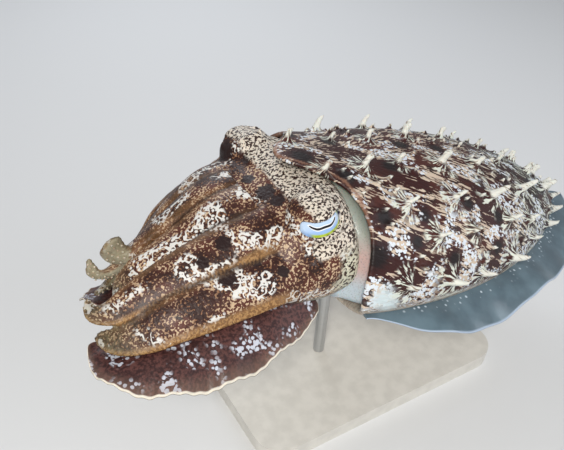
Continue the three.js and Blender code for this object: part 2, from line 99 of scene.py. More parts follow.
# %% Camera
AZIMUTH, ELEVATION, ROLL = np.radians([-32.0, 37.6, 3.0])
DISTANCE, FOCAL_PX, FRAME_PX, SENSOR = 517.0, 699.0, 564.0, 36.0
SHIFT_PX = (13.8, -4.0)
back = np.array(
    [np.sin(AZIMUTH) * np.cos(ELEVATION), -np.cos(AZIMUTH) * np.cos(ELEVATION), np.sin(ELEVATION)]
)
level_right = np.array([np.cos(AZIMUTH), np.sin(AZIMUTH), 0.0])
level_up = np.cross(level_right, -back)
right = np.cos(ROLL) * level_right + np.sin(ROLL) * level_up
up = -np.sin(ROLL) * level_right + np.cos(ROLL) * level_up
camera_data = bpy.data.cameras.new("camera")
camera_data.sensor_width, camera_data.lens = SENSOR, SENSOR * FOCAL_PX / FRAME_PX
camera_data.shift_x, camera_data.shift_y = SHIFT_PX[0] / FRAME_PX, SHIFT_PX[1] / FRAME_PX
camera_data.clip_start, camera_data.clip_end = 0.01, 50.0
camera = bpy.data.objects.new("camera", camera_data)
bpy.context.scene.collection.objects.link(camera)
pose = Matrix.Identity(4)
for row in range(3):
    pose[row][0], pose[row][1], pose[row][2] = right[row], up[row], back[row]
    pose[row][3] = metres(back * DISTANCE)[row]
camera.matrix_world = pose
bpy.context.scene.camera = camera
print("camera at", metres(back * DISTANCE).round(3))

# %% [markdown]
# A mesh is made from whole arrays: a grid of points, with faces between neighbours.
# A grid can close on itself round the body, and its two ends can close on a middle
# point. Blender's own primitives could be pulled about instead, but a grid can take any
# formula. Faces that come out inside out are turned, by the sign of the volume.

# %% Grids into meshes


def grid_faces(rows, columns, wrap_rows=False, wrap_columns=False):
    """Quads between neighbours (i, j), (i, j+1), (i+1, j+1), (i+1, j), wrapped where asked."""
    row = np.arange(rows if wrap_rows else rows - 1)
    column = np.arange(columns if wrap_columns else columns - 1)
    i, j = np.meshgrid(row, column, indexing="ij")
    i2, j2 = (i + 1) % rows, (j + 1) % columns
    corners = [i * columns + j, i * columns + j2, i2 * columns + j2, i2 * columns + j]
    return np.stack([c.ravel() for c in corners], 1)


def closed_tube(rings):
    """A closed shell from rings (n, around, 3): quads along it and a fan of triangles at each end."""
    n, around = rings.shape[:2]
    points = np.concatenate([rings.reshape(-1, 3), rings[0].mean(0)[None], rings[-1].mean(0)[None]])
    quads = grid_faces(n, around, wrap_columns=True)
    j = np.arange(around)
    j2 = (j + 1) % around
    start = np.stack([j2, j, np.full(around, n * around)], 1)
    end = np.stack([(n - 1) * around + j, (n - 1) * around + j2, np.full(around, n * around + 1)], 1)
    return points, [*map(tuple, quads.tolist()), *map(tuple, start.tolist()), *map(tuple, end.tolist())]


def ring_shell(grid):
    """A closed ring, wrapped both ways, such as an eyelid or a lip."""
    n, m = grid.shape[:2]
    return grid.reshape(-1, 3), [*map(tuple, grid_faces(n, m, True, True).tolist())]


def signed_volume(points, faces):
    """The sum of a.(b x c)/6 over the faces' triangles. It is negative on a shell that is inside out."""
    total = 0.0
    for size in (3, 4):
        f = np.array([face for face in faces if len(face) == size], int)
        if len(f):
            for k in range(1, size - 1):
                a, b, c = points[f[:, 0]], points[f[:, k]], points[f[:, k + 1]]
                total += np.einsum("ij,ij->", a, np.cross(b, c)) / 6
    return total


def facing_out(shell):
    """The shell, with its faces turned round where its volume comes out negative."""
    points, faces = shell
    middle = points - points.mean(0)
    return (points, faces) if signed_volume(middle, faces) > 0 else (points, [f[::-1] for f in faces])


def merged(shells):
    """Several closed shells as one list of points and faces."""
    points, faces, start = [], [], 0
    for p, f in map(facing_out, shells):
        points.append(p)
        faces += [tuple(k + start for k in face) for face in f]
        start += len(p)
    return np.concatenate(points), faces


def new_piece(name, shell):
    """A smooth-shaded Blender object from a shell in millimetres."""
    points, faces = shell
    mesh = bpy.data.meshes.new(name)
    mesh.from_pydata(metres(points).tolist(), [], faces)
    mesh.shade_smooth()
    piece = bpy.data.objects.new(name, mesh)
    bpy.context.scene.collection.objects.link(piece)
    return piece


def points_of(piece):
    """The piece's points, back in millimetres from the nape."""
    flat = np.empty(len(piece.data.vertices) * 3, np.float32)
    piece.data.vertices.foreach_get("co", flat)
    return flat.reshape(-1, 3).astype(float) * 1000.0 - NAPE


def fused(name, shells, voxel_mm, rounds):
    """One skin over closed shells that overlap: remeshed on a grid of voxels, then smoothed."""
    piece = new_piece(name, merged(shells))
    remesh = piece.modifiers.new("one skin", "REMESH")
    remesh.mode, remesh.voxel_size = "VOXEL", voxel_mm / 1000.0
    soften = piece.modifiers.new("soft", "SMOOTH")
    soften.factor, soften.iterations = 0.5, rounds
    applied = bpy.data.meshes.new_from_object(piece.evaluated_get(bpy.context.evaluated_depsgraph_get()))
    piece.modifiers.clear()
    old, piece.data = piece.data, applied
    bpy.data.meshes.remove(old)
    piece.data.shade_smooth()
    print(name, len(applied.polygons) * 2, "triangles")
    return piece


def give(piece, **values):
    """Stores numbers or vectors per point, which the materials read by name."""
    for name, value in values.items():
        value = np.asarray(value, np.float32)
        kind = "FLOAT_VECTOR" if value.ndim == 2 else "FLOAT"
        attribute = piece.data.attributes.new(name, kind, "POINT")
        attribute.data.foreach_set("vector" if value.ndim == 2 else "value", value.ravel())


print("a grid of 3 by 4 points has", len(grid_faces(3, 4)), "faces")

# %% [markdown]
# The mantle is the cloak of muscle that holds the body. Seen from above it is an oval
# that comes to a blunt point at the tail, and each cross section is a dome over a
# shallow belly. The free front edge reaches forward in a tongue over the neck. A
# stretched sphere would be quicker, but it has neither the tail nor the tongue. So the
# half width and the height are functions of how far a place lies behind the nape.

# %% Mantle shape
WIDEST = 0.28
FIN_DROP, FIN_SLOPE = -23.0, 0.165
DOME, BELLY = 0.79, 0.3
SIDE_POWER, TOP_POWER = 0.88, 0.92


def mantle_half_width(x):
    """Half width against distance behind the nape: a parabola ahead of the widest place,
    and (1 - s^2.05)^0.72 behind it, with s from 0 at the widest place to 1 at the tail."""
    share = x / MANTLE_LENGTH
    ahead = MANTLE_HALF_WIDTH * (1 - 0.15 * ((WIDEST - share) / WIDEST) ** 2)
    s = np.clip((share - WIDEST) / (1 - WIDEST), 0, 1)
    behind = MANTLE_HALF_WIDTH * (1 - s**2.05) ** 0.72
    return np.where(share < WIDEST, ahead, behind)


def fin_line(x):
    """Height of the fins' root: a straight line that falls towards the tail."""
    return FIN_DROP - FIN_SLOPE * x


def dome_height(x):
    """0.79 of the half width, and up to 1.3 times that near the front edge."""
    return mantle_half_width(x) * DOME * lerp(1.3, 1, ease((x + 15) / 100))


def belly_depth(x):
    """0.3 of the half width."""
    return mantle_half_width(x) * BELLY


def rim_place(angle):
    """Where the front edge lies: 42 mm behind the nape, less a bell for the tongue on top,
    and less a sixth power of cos at the sides."""
    across = np.cos(angle)
    over = 42 - 38.5 * bell(across, 0.31) - 15 * across**6
    return np.where(np.sin(angle) > 0, over, 27 + 6 * np.abs(np.sin(angle)))


def mantle_point(x, angle, grow=0.0):
    """A point of the skin: half width times cos across, dome or belly times sin upwards. Powers
    below 1 on the cos and sin fill out the shoulders, and grow moves the whole in or out."""
    up_share = np.sin(angle)
    tall = np.where(up_share > 0, dome_height(x), belly_depth(x)) + grow
    half = mantle_half_width(x) + grow
    across = half * keep_sign_power(np.cos(angle), SIDE_POWER)
    height = fin_line(x) + tall * keep_sign_power(up_share, TOP_POWER)
    return np.stack(np.broadcast_arrays(x, across, height), -1)


def mantle_normal(x, angle):
    """The direction out of the skin: the cross product of a step along it and a step round it."""
    along = mantle_point(x + 1, angle) - mantle_point(x - 1, angle)
    around = mantle_point(x, angle + 0.02) - mantle_point(x, angle - 0.02)
    normal = unit(np.cross(along, around))
    outward = mantle_point(x, angle) - np.stack(np.broadcast_arrays(x, 0 * x, fin_line(x)), -1)
    return normal * np.sign(np.sum(normal * outward, -1, keepdims=True))


def mantle_shell(around=260, along=200):
    """Rings from inside the front opening, forward round the rolled rim and back to the tail."""
    angle = np.linspace(0, 2 * np.pi, around, endpoint=False) + 0.011
    rim = rim_place(angle)
    inner_wall = ((34, -7.0), (22, -7.0), (12, -6.0), (5, -4.8))
    rings = [mantle_point(rim + behind, angle, grow) for behind, grow in inner_wall]
    for turn in np.linspace(-0.5 * np.pi, 0.5 * np.pi, 7):
        rings.append(mantle_point(rim + 1.5 - 2.0 * np.cos(turn), angle, -1.9 + 1.9 * np.sin(turn)))
    for share in np.linspace(0.012, 1, along):
        x = lerp(rim, MANTLE_LENGTH - 0.4, 1 - (1 - share) ** 1.7)
        rings.append(mantle_point(x, angle))
    return closed_tube(np.array(rings))


print("mantle's dome at its widest:", round(float(dome_height(WIDEST * MANTLE_LENGTH))), "mm")

# %% [markdown]
# The animal raises its skin into papillae: pale fleshy horns that lean and hook
# towards the tail, with a foot that spreads into the skin. Each is a tapered tube on
# a bent line. They stand in rows along the back and in one row above each fin, with
# smaller ones scattered between. Displacement could raise bumps out of the mantle, but
# it moves a skin only along its own direction, and these lean over.

# %% Papillae
SMALL_PAPILLAE = 120
# angle is degrees up from the side, start and end are mm behind the nape, and height and
# base (the foot's radius) are in mm.
PAPILLA_ROWS = [
    dict(angle=78, start=22, end=322, count=8, height=11, base=5, lean=0.35, club=0.55),
    dict(angle=55, start=60, end=326, count=6, height=12, base=6, lean=0.7, club=0.15),
    dict(angle=33, start=90, end=318, count=6, height=9, base=5, lean=0.9, club=0.0),
    dict(angle=9, start=48, end=300, count=7, height=10, base=7, lean=0.9, club=0.0),
]


def scatter(n):
    """The same repeatable number from 0 to 1 for piece n as the solids use."""
    value = np.sin(n * 127.1 + 311.7) * 43758.5453
    return value - np.floor(value)


def papilla(foot, normal, height, base, lean, club=0.0, around=16):
    """A horn: the radius falls with (1 - s) cubed from a spread foot to a rounded tip, with a bell
    of swelling below the tip where it is club-shaped, and the line bends back with s squared."""
    backward = unit(np.array([1.0, 0, 0]) - normal * normal[0])
    side = np.cross(normal, backward)
    share = np.concatenate([np.linspace(0, 0.85, 12), [0.92, 0.97, 1.0]])[:, None, None]
    angle = np.linspace(0, 2 * np.pi, around, endpoint=False)[None, :, None]
    rise = -0.35 * base + (height + 0.35 * base) * share
    folds = 1 + 0.14 * (1 - share) * np.cos(angle * 5 + height)
    radius = base * (0.33 + 0.1 * club - 0.05 * share + 0.55 * (1 - share) ** 3) * folds
    swelling = 0.36 * base * club * bell(share - 0.84, 0.2)
    radius = (radius + swelling) * np.sqrt(np.clip(1.01 - share**12, 0, 1))
    bend = lean * height * share**2
    line = foot + normal * rise + backward * (bend + 1.25 * radius * np.cos(angle))
    return closed_tube(line + side * radius * np.sin(angle))


papilla_feet, papilla_sizes, papilla_shells = [], [], []
for r, row in enumerate(PAPILLA_ROWS):
    for side in SIDES.values():
        for k in range(row["count"]):
            seed = r * 97 + k * 7 + (3 if side > 0 else 0)
            place = (k + 0.3 * (r % 2)) / (row["count"] - 0.6)
            x = lerp(row["start"], row["end"], place) + 10 * (scatter(seed) - 0.5)
            tilt = np.radians(row["angle"] + 7 * (scatter(seed + 1) - 0.5))
            angle = np.pi - tilt if side < 0 else tilt
            size = lerp(0.75, 1.25, scatter(seed + 2)) * (0.8 if k < 2 and r == 0 else 1)
            foot, normal = mantle_point(x, angle), mantle_normal(x, angle)
            height, base = row["height"] * size, row["base"] * size
            papilla_shells.append(papilla(foot, normal, height, base, row["lean"], row["club"]))
            papilla_feet.append(foot)
            papilla_sizes.append(base)
papilla_feet, papilla_sizes = np.array(papilla_feet), np.array(papilla_sizes)
print("papillae on the mantle:", len(papilla_shells))

# The smaller ones are low and blunt.
rng = np.random.default_rng(7)
for k in range(SMALL_PAPILLAE):
    x = lerp(38.0, 310.0, rng.random())
    tilt = np.radians(rng.uniform(14, 88))
    angle = tilt if k % 2 else np.pi - tilt
    size = rng.uniform(0.7, 1.35)
    foot, normal = mantle_point(x, angle), mantle_normal(x, angle)
    papilla_shells.append(papilla(foot, normal, 4.2 * size, 4.0 * size, 0.7))

mantle_skin = fused("mantle_skin", [mantle_shell(), *papilla_shells], voxel_mm=1.5, rounds=2)

# %% [markdown]
# The fin is a thin frill that runs round the whole edge of the mantle, and the animal
# hovers by sending waves along it. A sheet with a Solidify modifier would have the same
# thickness all over. It is worked out as two faces instead, one above and one below,
# that come together from the root inside the mantle to a fine edge.

# %% Fins
FIN_FRONT, FIN_WIDTH = 30.0, 27.0


def fin_point(side, u, v, face):
    """A place on the fin: u runs along it, v from root to edge, and face is 1 above and -1 below.
    It leaves the mantle's edge at right angles, and two sines lift it by amounts that grow with v."""
    x = lerp(FIN_FRONT, MANTLE_LENGTH - 0.5, 1 - (1 - u) ** 1.3)
    slope = mantle_half_width(x) - mantle_half_width(x - 1)
    share = x / MANTLE_LENGTH
    turn = lerp(np.arctan(-slope), 1.35, ease((share - 0.93) / 0.07))
    width = lerp(2, FIN_WIDTH, ease((share - 0.1) / 0.2)) - 5 * ease((share - 0.85) / 0.15)
    reach = lerp(-5, width, v)
    grown = ease((share - 0.1) / 0.14)
    wave = 5 * v * np.sin(share * 17 - 2.4) + 1.2 * v**2 * np.sin(share * 52)
    drop = 8 * np.sqrt(np.clip(mantle_half_width(x) / MANTLE_HALF_WIDTH, 0, 1)) + 9 * v**2 * grown
    return np.stack(
        [
            x + np.sin(turn) * reach,
            side * np.maximum(0.5, mantle_half_width(x) - 3 * (1 - v) + np.cos(turn) * reach),
            fin_line(x) - drop + wave * grown + face * lerp(1.9, 0.45, v),
        ],
        -1,
    )


def two_faced(point, along, out):
    """A thin plate: rows along it, and a loop that goes out on the upper face and back on the lower."""
    u = np.linspace(0, 1, along)[:, None]
    v = np.concatenate([np.linspace(0, 1, out), np.linspace(1, 0, out)])[None, :]
    face = np.concatenate([np.ones(out), -np.ones(out)])[None, :]
    u, v, face = np.broadcast_arrays(u, v, face)
    return closed_tube(point(u, v, face)), u, v, face


fins = {}
for name, side in SIDES.items():
    shell, u, v, face = two_faced(lambda u, v, face: fin_point(side, u, v, face), 420, 22)
    fins[name] = new_piece(f"fin_{name}", facing_out(shell))
    ends = [[0.0], [0.0]]
    give(fins[name], out=np.concatenate([v.ravel(), *ends]), along=np.concatenate([u.ravel() * 330, *ends]))
print("fins:", len(fins["left"].data.polygons), "faces each")

# %% [markdown]
# The head is a broad flattened barrel, with a bulge on each upper side for the eye.
# Sections measured along it are blended into one another, as a boat builder lofts a
# hull over its frames. A sphere could be squashed into the place, but sections say how
# wide and how tall the head is at each step, and those can be measured.

# %% Head shape
# Each row: x, half width, height above the middle, depth below it, and the middle's height.
HEAD_SECTIONS = np.array(
    [
        [42, 62, 44, 40, -5],
        [28, 73, 50, 43, -4],
        [10, 75, 49, 44, -3],
        [-14, 72, 43, 42, -4],
        [-36, 64, 36, 36, -7],
        [-50, 52, 26, 27, -11],
    ],
    float,
)


def station(x):
    """Each measure blends from one section to the next by a part straight, part eased share."""
    rows = HEAD_SECTIONS[::-1]
    x = np.clip(x, rows[0, 0], rows[-1, 0])
    i = np.clip(np.searchsorted(rows[:, 0], x, side="right") - 1, 0, len(rows) - 2)
    share = (x - rows[i, 0]) / (rows[i + 1, 0] - rows[i, 0])
    share = lerp(share, ease(share), 0.6)
    return [lerp(rows[i, k], rows[i + 1, k], share) for k in range(1, 5)]


def head_point(x, angle, shrink=1.0):
    """A point of the head: half width times cos across and height times sin up, with powers that
    fill the shoulders, and a bell of 9 mm for the brow over each eye."""
    half, top, bottom, middle = station(x)
    up_share = np.sin(angle)
    across = keep_sign_power(np.cos(angle), 0.9)
    brow = np.where(up_share > 0, 9 * bell(x - 10, 20) * bell(np.abs(across) - 0.62, 0.25), 0)
    tall = np.where(up_share > 0, top, bottom)
    height = middle + shrink * (tall * keep_sign_power(up_share, 0.95) + brow)
    return np.stack(np.broadcast_arrays(x, shrink * half * across, height), -1)


def head_shell(around=120, along=70):
    """Rings from back to front, drawn in at both ends by the root of 1 - (2s - 1)^14."""
    angle = np.linspace(0, 2 * np.pi, around, endpoint=False) + 0.013
    rings = []
    for share in np.linspace(0, 1, along):
        ends = np.sqrt(np.clip(1 - (2 * share - 1) ** 14, 0, 1))
        rings.append(head_point(lerp(42.0, -50.0, share), angle, lerp(0.8, 1, ends)))
    return closed_tube(np.array(rings))


print("head:", np.ptp(HEAD_SECTIONS[:, 0]), "mm long and", 2 * HEAD_SECTIONS[:, 1].max(), "mm wide")

# %% [markdown]
# Each eye is a ball under lids. The upper lid hangs over it in a rounded lobe, so only
# a crescent of eye shows. A hole could be cut in the head with a Boolean, but it would
# have a sharp edge. The lids are one soft ring round the crescent instead: for each
# direction from a point inside the opening, the ring starts where the opening ends.

# %% Eyes and lids
EYE_RADIUS = 18.0
EYE_SLANT, EYE_TILT = np.radians([9.0, 44.0])
LID_START = (0.0, -6.0)


def eye_frame(side):
    """The ball's middle, 11.5 mm below the skin, and its directions out, up and forward, turned by
    the slant of the opening."""
    surface = head_point(5.0, np.pi - EYE_TILT if side < 0 else EYE_TILT)
    outward = unit(np.array([-0.16, side * 0.8, 0.58]))
    level_up = unit(np.array([0, 0, 1.0]) - outward * outward[2])
    level_forward = -side * np.cross(outward, level_up)
    upward = np.cos(EYE_SLANT) * level_up + np.sin(EYE_SLANT) * level_forward
    forward = np.cos(EYE_SLANT) * level_forward - np.sin(EYE_SLANT) * level_up
    return surface - 11.5 * outward, outward, upward, forward


def in_opening(a, b):
    """The opening is an ellipse of 30 by 19 mm, less the upper lid's own ellipse of 29.6 by 25.6 mm
    above it; a is mm forward and b is mm up."""
    inside = (a / 15.0) ** 2 + ((b + 1.5) / 9.5) ** 2 < 1
    under_lid = ((a - 0.5) / 14.8) ** 2 + ((b - 11.5) / 12.8) ** 2 > 1
    return inside & under_lid


def lid_shell(side, around=110):
    """Both lids as one ring. Its section rises from the opening's edge onto the ball, where height is
    the root of radius^2 - a^2 - b^2, and then wraps round behind the ball at growing angles."""
    centre, outward, upward, forward = eye_frame(side)
    theta = np.linspace(0, 2 * np.pi, around, endpoint=False)[:, None]
    start_a, start_b = LID_START
    reach = np.linspace(0, 24, 240)[None, :]
    inside = in_opening(start_a + reach * np.cos(theta), start_b + reach * np.sin(theta))
    edge = reach[0][np.argmin(inside, axis=1)][:, None]
    lift = 1.6 * ease(np.sin(theta) * 1.2)
    section = [
        (0.9, 17.2, 0), (0.2, 18.4, 0), (0.0, 19.4, 0.3), (0.7, 20.5, 0.8), (2.2, 21.0, 1), (4.5, 21.1, 1),
    ]
    wrap = [(70, 21.0), (88, 20.8), (105, 20.0), (105, 10.0), (60, 11.0)]
    grid = []
    for out, radius, lifted in section:
        a = start_a + (edge + out) * np.cos(theta)
        b = start_b + (edge + out) * np.sin(theta)
        height = np.sqrt(np.maximum((radius + lift * lifted) ** 2 - a**2 - b**2, 1.0))
        grid.append(centre + outward * height + upward * b + forward * a)
    far = np.hypot(a, b)
    for degrees, radius in wrap:
        polar = np.maximum(np.radians(degrees), np.arcsin(np.clip(far / 21.5, 0, 1)) + 0.05)
        direction = (upward * b + forward * a) / far
        grid.append(centre + radius * (outward * np.cos(polar) + direction * np.sin(polar)))
    return ring_shell(np.transpose(np.array(grid), (1, 0, 2)))


print("eyes:", 2 * EYE_RADIUS, "mm across, middle at", eye_frame(LEFT)[0].round(1), "mm")

# %% [markdown]
# Eight arms come forward from the head and lie together in a cone. Each follows a
# smooth line through a few places. The left ones are followed from the outline, and the
# right ones are the same lines hung lower. A Blender curve could do this too, but a line
# in code can also tell the skin and its marks where each arm lies.

# %% Arm lines
# x (forward is negative), y (outward) and z (up), in mm from the nape, from root to tip.
ARM_LINES = [
    [
        [-24, 12.5, 34], [-46, 13, 30], [-72, 14.5, 17], [-94, 17, 10], [-110, 18, 4],
        [-121, 18, -5], [-126, 16, -15],
    ],
    [
        [-18, 36, 26], [-38, 37, 24], [-63, 38, 19], [-82, 39, 16], [-100, 39, 12],
        [-120, 39, 6], [-137, 38, 1], [-146, 36, 4], [-148, 34, 19],
    ],
    [
        [-6, 59, 5], [-24, 59, 5], [-60, 60, 4], [-84, 60, 2], [-104, 59, -1],
        [-121, 56, -7], [-137, 50, -11], [-148, 39, -12],
    ],
    [[-22, 48, -28], [-50, 50, -25], [-80, 51, -23], [-108, 48, -25], [-130, 40, -29], [-144, 27, -27]],
]
RIGHT_FIRST_LINE = [
    [-24, 12.5, 34], [-46, 13, 30], [-68, 14, 17], [-87, 15, 4], [-100, 15, -3],
    [-109, 14, -3], [-114, 13, 6], [-112, 12, 18],
]
RIGHT_FOLD, RIGHT_BACK, RIGHT_DROP = 26.0, 22.0, 16.0


def turned(x, side):
    """How far a place on a right limb is turned, from 0 at the head to 1 near the tips."""
    return ease((-20 - x) / 100) * (side > 0)


def hang(rows, side):
    """The right limbs hang lower: turned about the body's length by up to 26 degrees, drawn back
    by up to 22 mm and dropped by up to 16 mm."""
    x, y, z = np.array(rows, float).T
    share = turned(x, side)
    fold = np.radians(RIGHT_FOLD) * share
    height = z * np.cos(fold) - y * np.sin(fold) - RIGHT_DROP * share
    return np.stack([x + RIGHT_BACK * share, side * (y * np.cos(fold) + z * np.sin(fold)), height], -1)


def line_through(places, samples=40):
    """A centripetal Catmull-Rom line: each span is a cubic whose slopes weigh its neighbours by
    the square root of their lengths. Returns a function of the share of its length."""
    p = np.concatenate([[2 * places[0] - places[1]], places, [2 * places[-1] - places[-2]]])
    t = np.linspace(0, 1, samples, endpoint=False)[:, None]
    spans = []
    for a, b, c, d in zip(p, p[1:], p[2:], p[3:]):
        d0, d1, d2 = (max(np.linalg.norm(v) ** 0.5, 1e-4) for v in (b - a, c - b, d - c))
        m0 = ((b - a) / d0 - (c - a) / (d0 + d1) + (c - b) / d1) * d1
        m1 = ((c - b) / d1 - (d - b) / (d1 + d2) + (d - c) / d2) * d1
        cubic = (2 * t**3 - 3 * t**2 + 1) * b + (t**3 - 2 * t**2 + t) * m0
        spans.append(cubic + (3 * t**2 - 2 * t**3) * c + (t**3 - t**2) * m1)
    line = np.concatenate([*spans, [places[-1]]])
    far = np.concatenate([[0], np.cumsum(np.linalg.norm(np.diff(line, axis=0), axis=1))])

    def at(share):
        place = np.clip(share, 0, 1) * far[-1]
        return np.stack([np.interp(place, far, line[:, k]) for k in range(3)], -1)

    return at


ARM_CURVES = {side: [line_through(hang(rows, side)) for rows in ARM_LINES] for side in SIDES.values()}
ARM_CURVES[RIGHT][0] = line_through(np.array(RIGHT_FIRST_LINE, float))
print("arm tips on the left:", [curve(1.0).round().tolist() for curve in ARM_CURVES[LEFT]])

# %% [markdown]
# An arm is a muscle that is wider than it is deep, with a skirt of skin drawn up along
# each edge. A bevelled curve would have one section all the way. Here the section is a
# function of the place along the arm, and so are the directions it is laid out in.

# %% Arm forms
# width and tip are mm across at root and tip, above and below are half depths, and lean
# is how many degrees the arm's back is turned from straight up.
ARM_SIZES = [
    dict(width=32, tip=20, above=9, below=8, lean=12),
    dict(width=36, tip=7, above=10, below=9, lean=26),
    dict(width=39, tip=16, above=10, below=9, lean=40),
    dict(width=38, tip=13, above=8, below=8, lean=164),
]


def arm_frame(number, side, share):
    """Middle, directions and half sizes of an arm at shares of its length. The direction along is
    the line's slope, outward is the lean made square to it, and the sizes taper with share^2.4."""
    curve = ARM_CURVES[side][number]
    size = ARM_SIZES[number]
    middle = curve(share)
    along = unit(curve(np.minimum(share + 0.01, 1)) - curve(np.maximum(share - 0.01, 0)))
    lean = np.radians(size["lean"] + RIGHT_FOLD * turned(middle[..., 0], side))
    outward = np.stack([0 * lean, side * np.sin(lean), np.cos(lean)], -1)
    outward = unit(outward - along * np.sum(along * outward, -1, keepdims=True))
    across = unit(np.cross(along, outward))
    rounded = np.sqrt(np.clip(1 - share**14, 0, 1))
    taper = rounded * lerp(1, size["tip"] / size["width"], share**2.4)
    thin = taper * lerp(1, 0.6, ease((share - 0.6) / 0.4))
    sizes = taper * size["width"] / 2, thin * size["above"], thin * size["below"]
    return middle, along, outward, across, *sizes


def arm_shell(number, side, around=44, along=110):
    """An ellipse carried along the arm's line, with its edges lifted by |cos|^6 into skirts. On the
    two arms between top and bottom, the outer skirt is raised more, into the face's tan ridges."""
    share = np.linspace(0, 1, along) ** 0.9
    middle, _, outward, across, half, above, below = arm_frame(number, side, share)
    angle = np.linspace(0, 2 * np.pi, around, endpoint=False)
    c, s = np.cos(angle)[None, :, None], np.sin(angle)[None, :, None]
    half, above, below = (v[:, None, None] for v in (half, above, below))
    ripple = 0.5 * np.sin(share * 60 + number)[:, None, None]
    raised = np.where(c * side > 0, 0.32, 0.12) if number in (1, 2) else 0.16
    skirt = np.abs(c) ** 6 * (raised * half + ripple * (half > 3)) * ease(share * 4)[:, None, None]
    depth = np.where(s > 0, above, below) * s + skirt
    rings = middle[:, None] + across[:, None] * (half * c) + outward[:, None] * depth
    return closed_tube(rings)


print("arm 1 is", 2 * arm_frame(1, LEFT, np.array([0.0]))[4][0], "mm wide at its root")

# %% [markdown]
# Between the roots of the arms the skin spans as a web. In life it is one with them. A
# sheet stretched between two edges would need those edges cut first. A closed form laid
# in each gap is enough, because forms that overlap melt together in the next step.

# %% Webs


def web_shell(first, second, around=30, along=60, reach=0.62):
    """A web of skin between two arms: an ellipse whose middle lies halfway between their lines,
    and which thins to nothing at the share reach of their length."""
    share = np.linspace(0.02, reach, along)
    one, two = arm_frame(*first, share), arm_frame(*second, share)
    middle = (one[0] + two[0]) / 2
    outward = unit(one[2] + two[2])
    across = unit(two[0] - one[0])
    fade = np.sqrt(1 - (share / reach) ** 3)
    half = np.linalg.norm(two[0] - one[0], axis=-1) * 0.42 * fade
    over = (one[5] + two[5]) / 2 * 0.80 * fade
    angle = np.linspace(0, 2 * np.pi, around, endpoint=False)
    c, s = np.cos(angle)[None, :, None], np.sin(angle)[None, :, None]
    height = np.where(s > 0, over[:, None, None], 5.0) * s
    line = middle[:, None] + across[:, None] * half[:, None, None] * c
    return closed_tube(line + outward[:, None] * height)


side_webs = {
    side: [web_shell((number, side), (number + 1, side)) for number in range(2)] for side in SIDES.values()
}
top_web = web_shell((0, LEFT), (0, RIGHT), reach=0.4)
print("a web has", len(top_web[1]), "faces")

# %% [markdown]
# Head, lids, papillae, arms and webs now become one skin without seams. Booleans would
# leave a hard crease where two forms meet. A voxel remesh joins them on a fine grid, and
# a little smoothing rounds the creases, as skin over muscle is round.

# %% One skin for the head and arms
# Each: mm ahead of or behind the nape, degrees up from the side, height and foot radius.
HEAD_PAPILLAE = [(12, 64, 9, 4), (-4, 76, 6, 3), (-4, 18, 6, 4)]
head_papillae = []
for side in SIDES.values():
    for x, degrees, height, base in HEAD_PAPILLAE:
        tilt = np.radians(degrees)
        foot = head_point(float(x), np.pi - tilt if side < 0 else tilt)
        normal = unit(foot - np.array([x, 0, station(float(x))[3]]))
        head_papillae.append(papilla(foot, normal, height, base, 0.2))

shells = [head_shell(), *head_papillae]
for side in SIDES.values():
    shells.append(lid_shell(side))
    shells += [arm_shell(number, side) for number in range(4)] + side_webs[side]
head_skin = fused("head_skin", [*shells, top_web], voxel_mm=1.35, rounds=3)

# %% [markdown]
# The keel is a broad skirt on the outer side of each lowest arm, and the animal steers
# with it. Cloth could be simulated from the arm, but living skin doesn't hang like
# cloth. It is one sheet between two lines, the root along the arm and the free edge.

# %% Keels
KEEL_ROOT = [[-4, 62, -16], [-40, 64, -14], [-75, 63, -12], [-104, 59, -15], [-130, 49, -23], [-143, 36, -24]]
KEEL_EDGE = [
    [8, 70, -32], [-26, 86, -32], [-72, 98, -33], [-108, 97, -28], [-136, 88, -23], [-156, 66, -19],
    [-156, 38, -16],
]
KEEL_CURVES = {
    side: [line_through(hang(rows, side)) for rows in (KEEL_ROOT, KEEL_EDGE)] for side in SIDES.values()
}


def keel_point(side, u, v, face):
    """A straight blend from root to edge, arched by sines of u and v between them, with ripples that
    grow with v cubed and a fine frill that grows with v^6. The two ends are rounded off."""
    root, edge = (curve(u) for curve in KEEL_CURVES[side])
    rounded = np.sqrt(np.clip(1 - u**40, 0, 1)) * np.sqrt(np.clip(1 - (1 - u) ** 40, 0, 1))
    point = lerp(root, edge, (v * lerp(0.15, 1, rounded))[..., None])
    ripple = 2.2 * v**3 * np.sin(u * 34 + side) + 4 * np.sin(np.pi * v) * np.sin(np.pi * u)
    frill = 0.7 * v**6 * np.sin(u * 150)
    point[..., 2] += ripple + frill + face * lerp(1.7, 0.5, v)
    return point


keels = {}
for name, side in SIDES.items():
    shell, u, v, face = two_faced(lambda u, v, face: keel_point(side, u, v, face), 300, 40)
    keels[name] = new_piece(f"keel_{name}", facing_out(shell))
    ends = [[0.0], [0.0]]
    give(keels[name], out=np.concatenate([v.ravel(), *ends]), face=np.concatenate([face.ravel(), *ends]))
print("keels:", len(keels["left"].data.polygons), "faces each")

# %% [markdown]
# Behind the head, a smooth pale collar of skin fills the mantle's opening. Below it is
# the funnel, which the animal swims with, and between the arms are the lips. All three
# are tubes: a section carried along a line. A cylinder with modifiers would do for the
# funnel, but not for the collar, which has to follow the mantle's own section.

# %% Collar, funnel and mouth
FUNNEL_LINE = [[44, 0, -34], [14, 0, -43], [-14, 0, -51], [-40, 0, -53]]


def collar_shell(around=160, along=40):
    """The mantle's section 7 mm further in, and shrunk towards its middle at both ends."""
    angle = np.linspace(0, 2 * np.pi, around, endpoint=False)
    rings = []
    for share in np.linspace(0, 1, along):
        x = lerp(20.0, 82.0, share)
        shrink = lerp(1, 0.75, share**4) * lerp(0.86, 1, ease(share * 3))
        middle = np.array([x, 0, fin_line(x)])
        rings.append(middle + (mantle_point(x, angle, -7.0) - middle) * shrink)
    return closed_tube(np.array(rings))


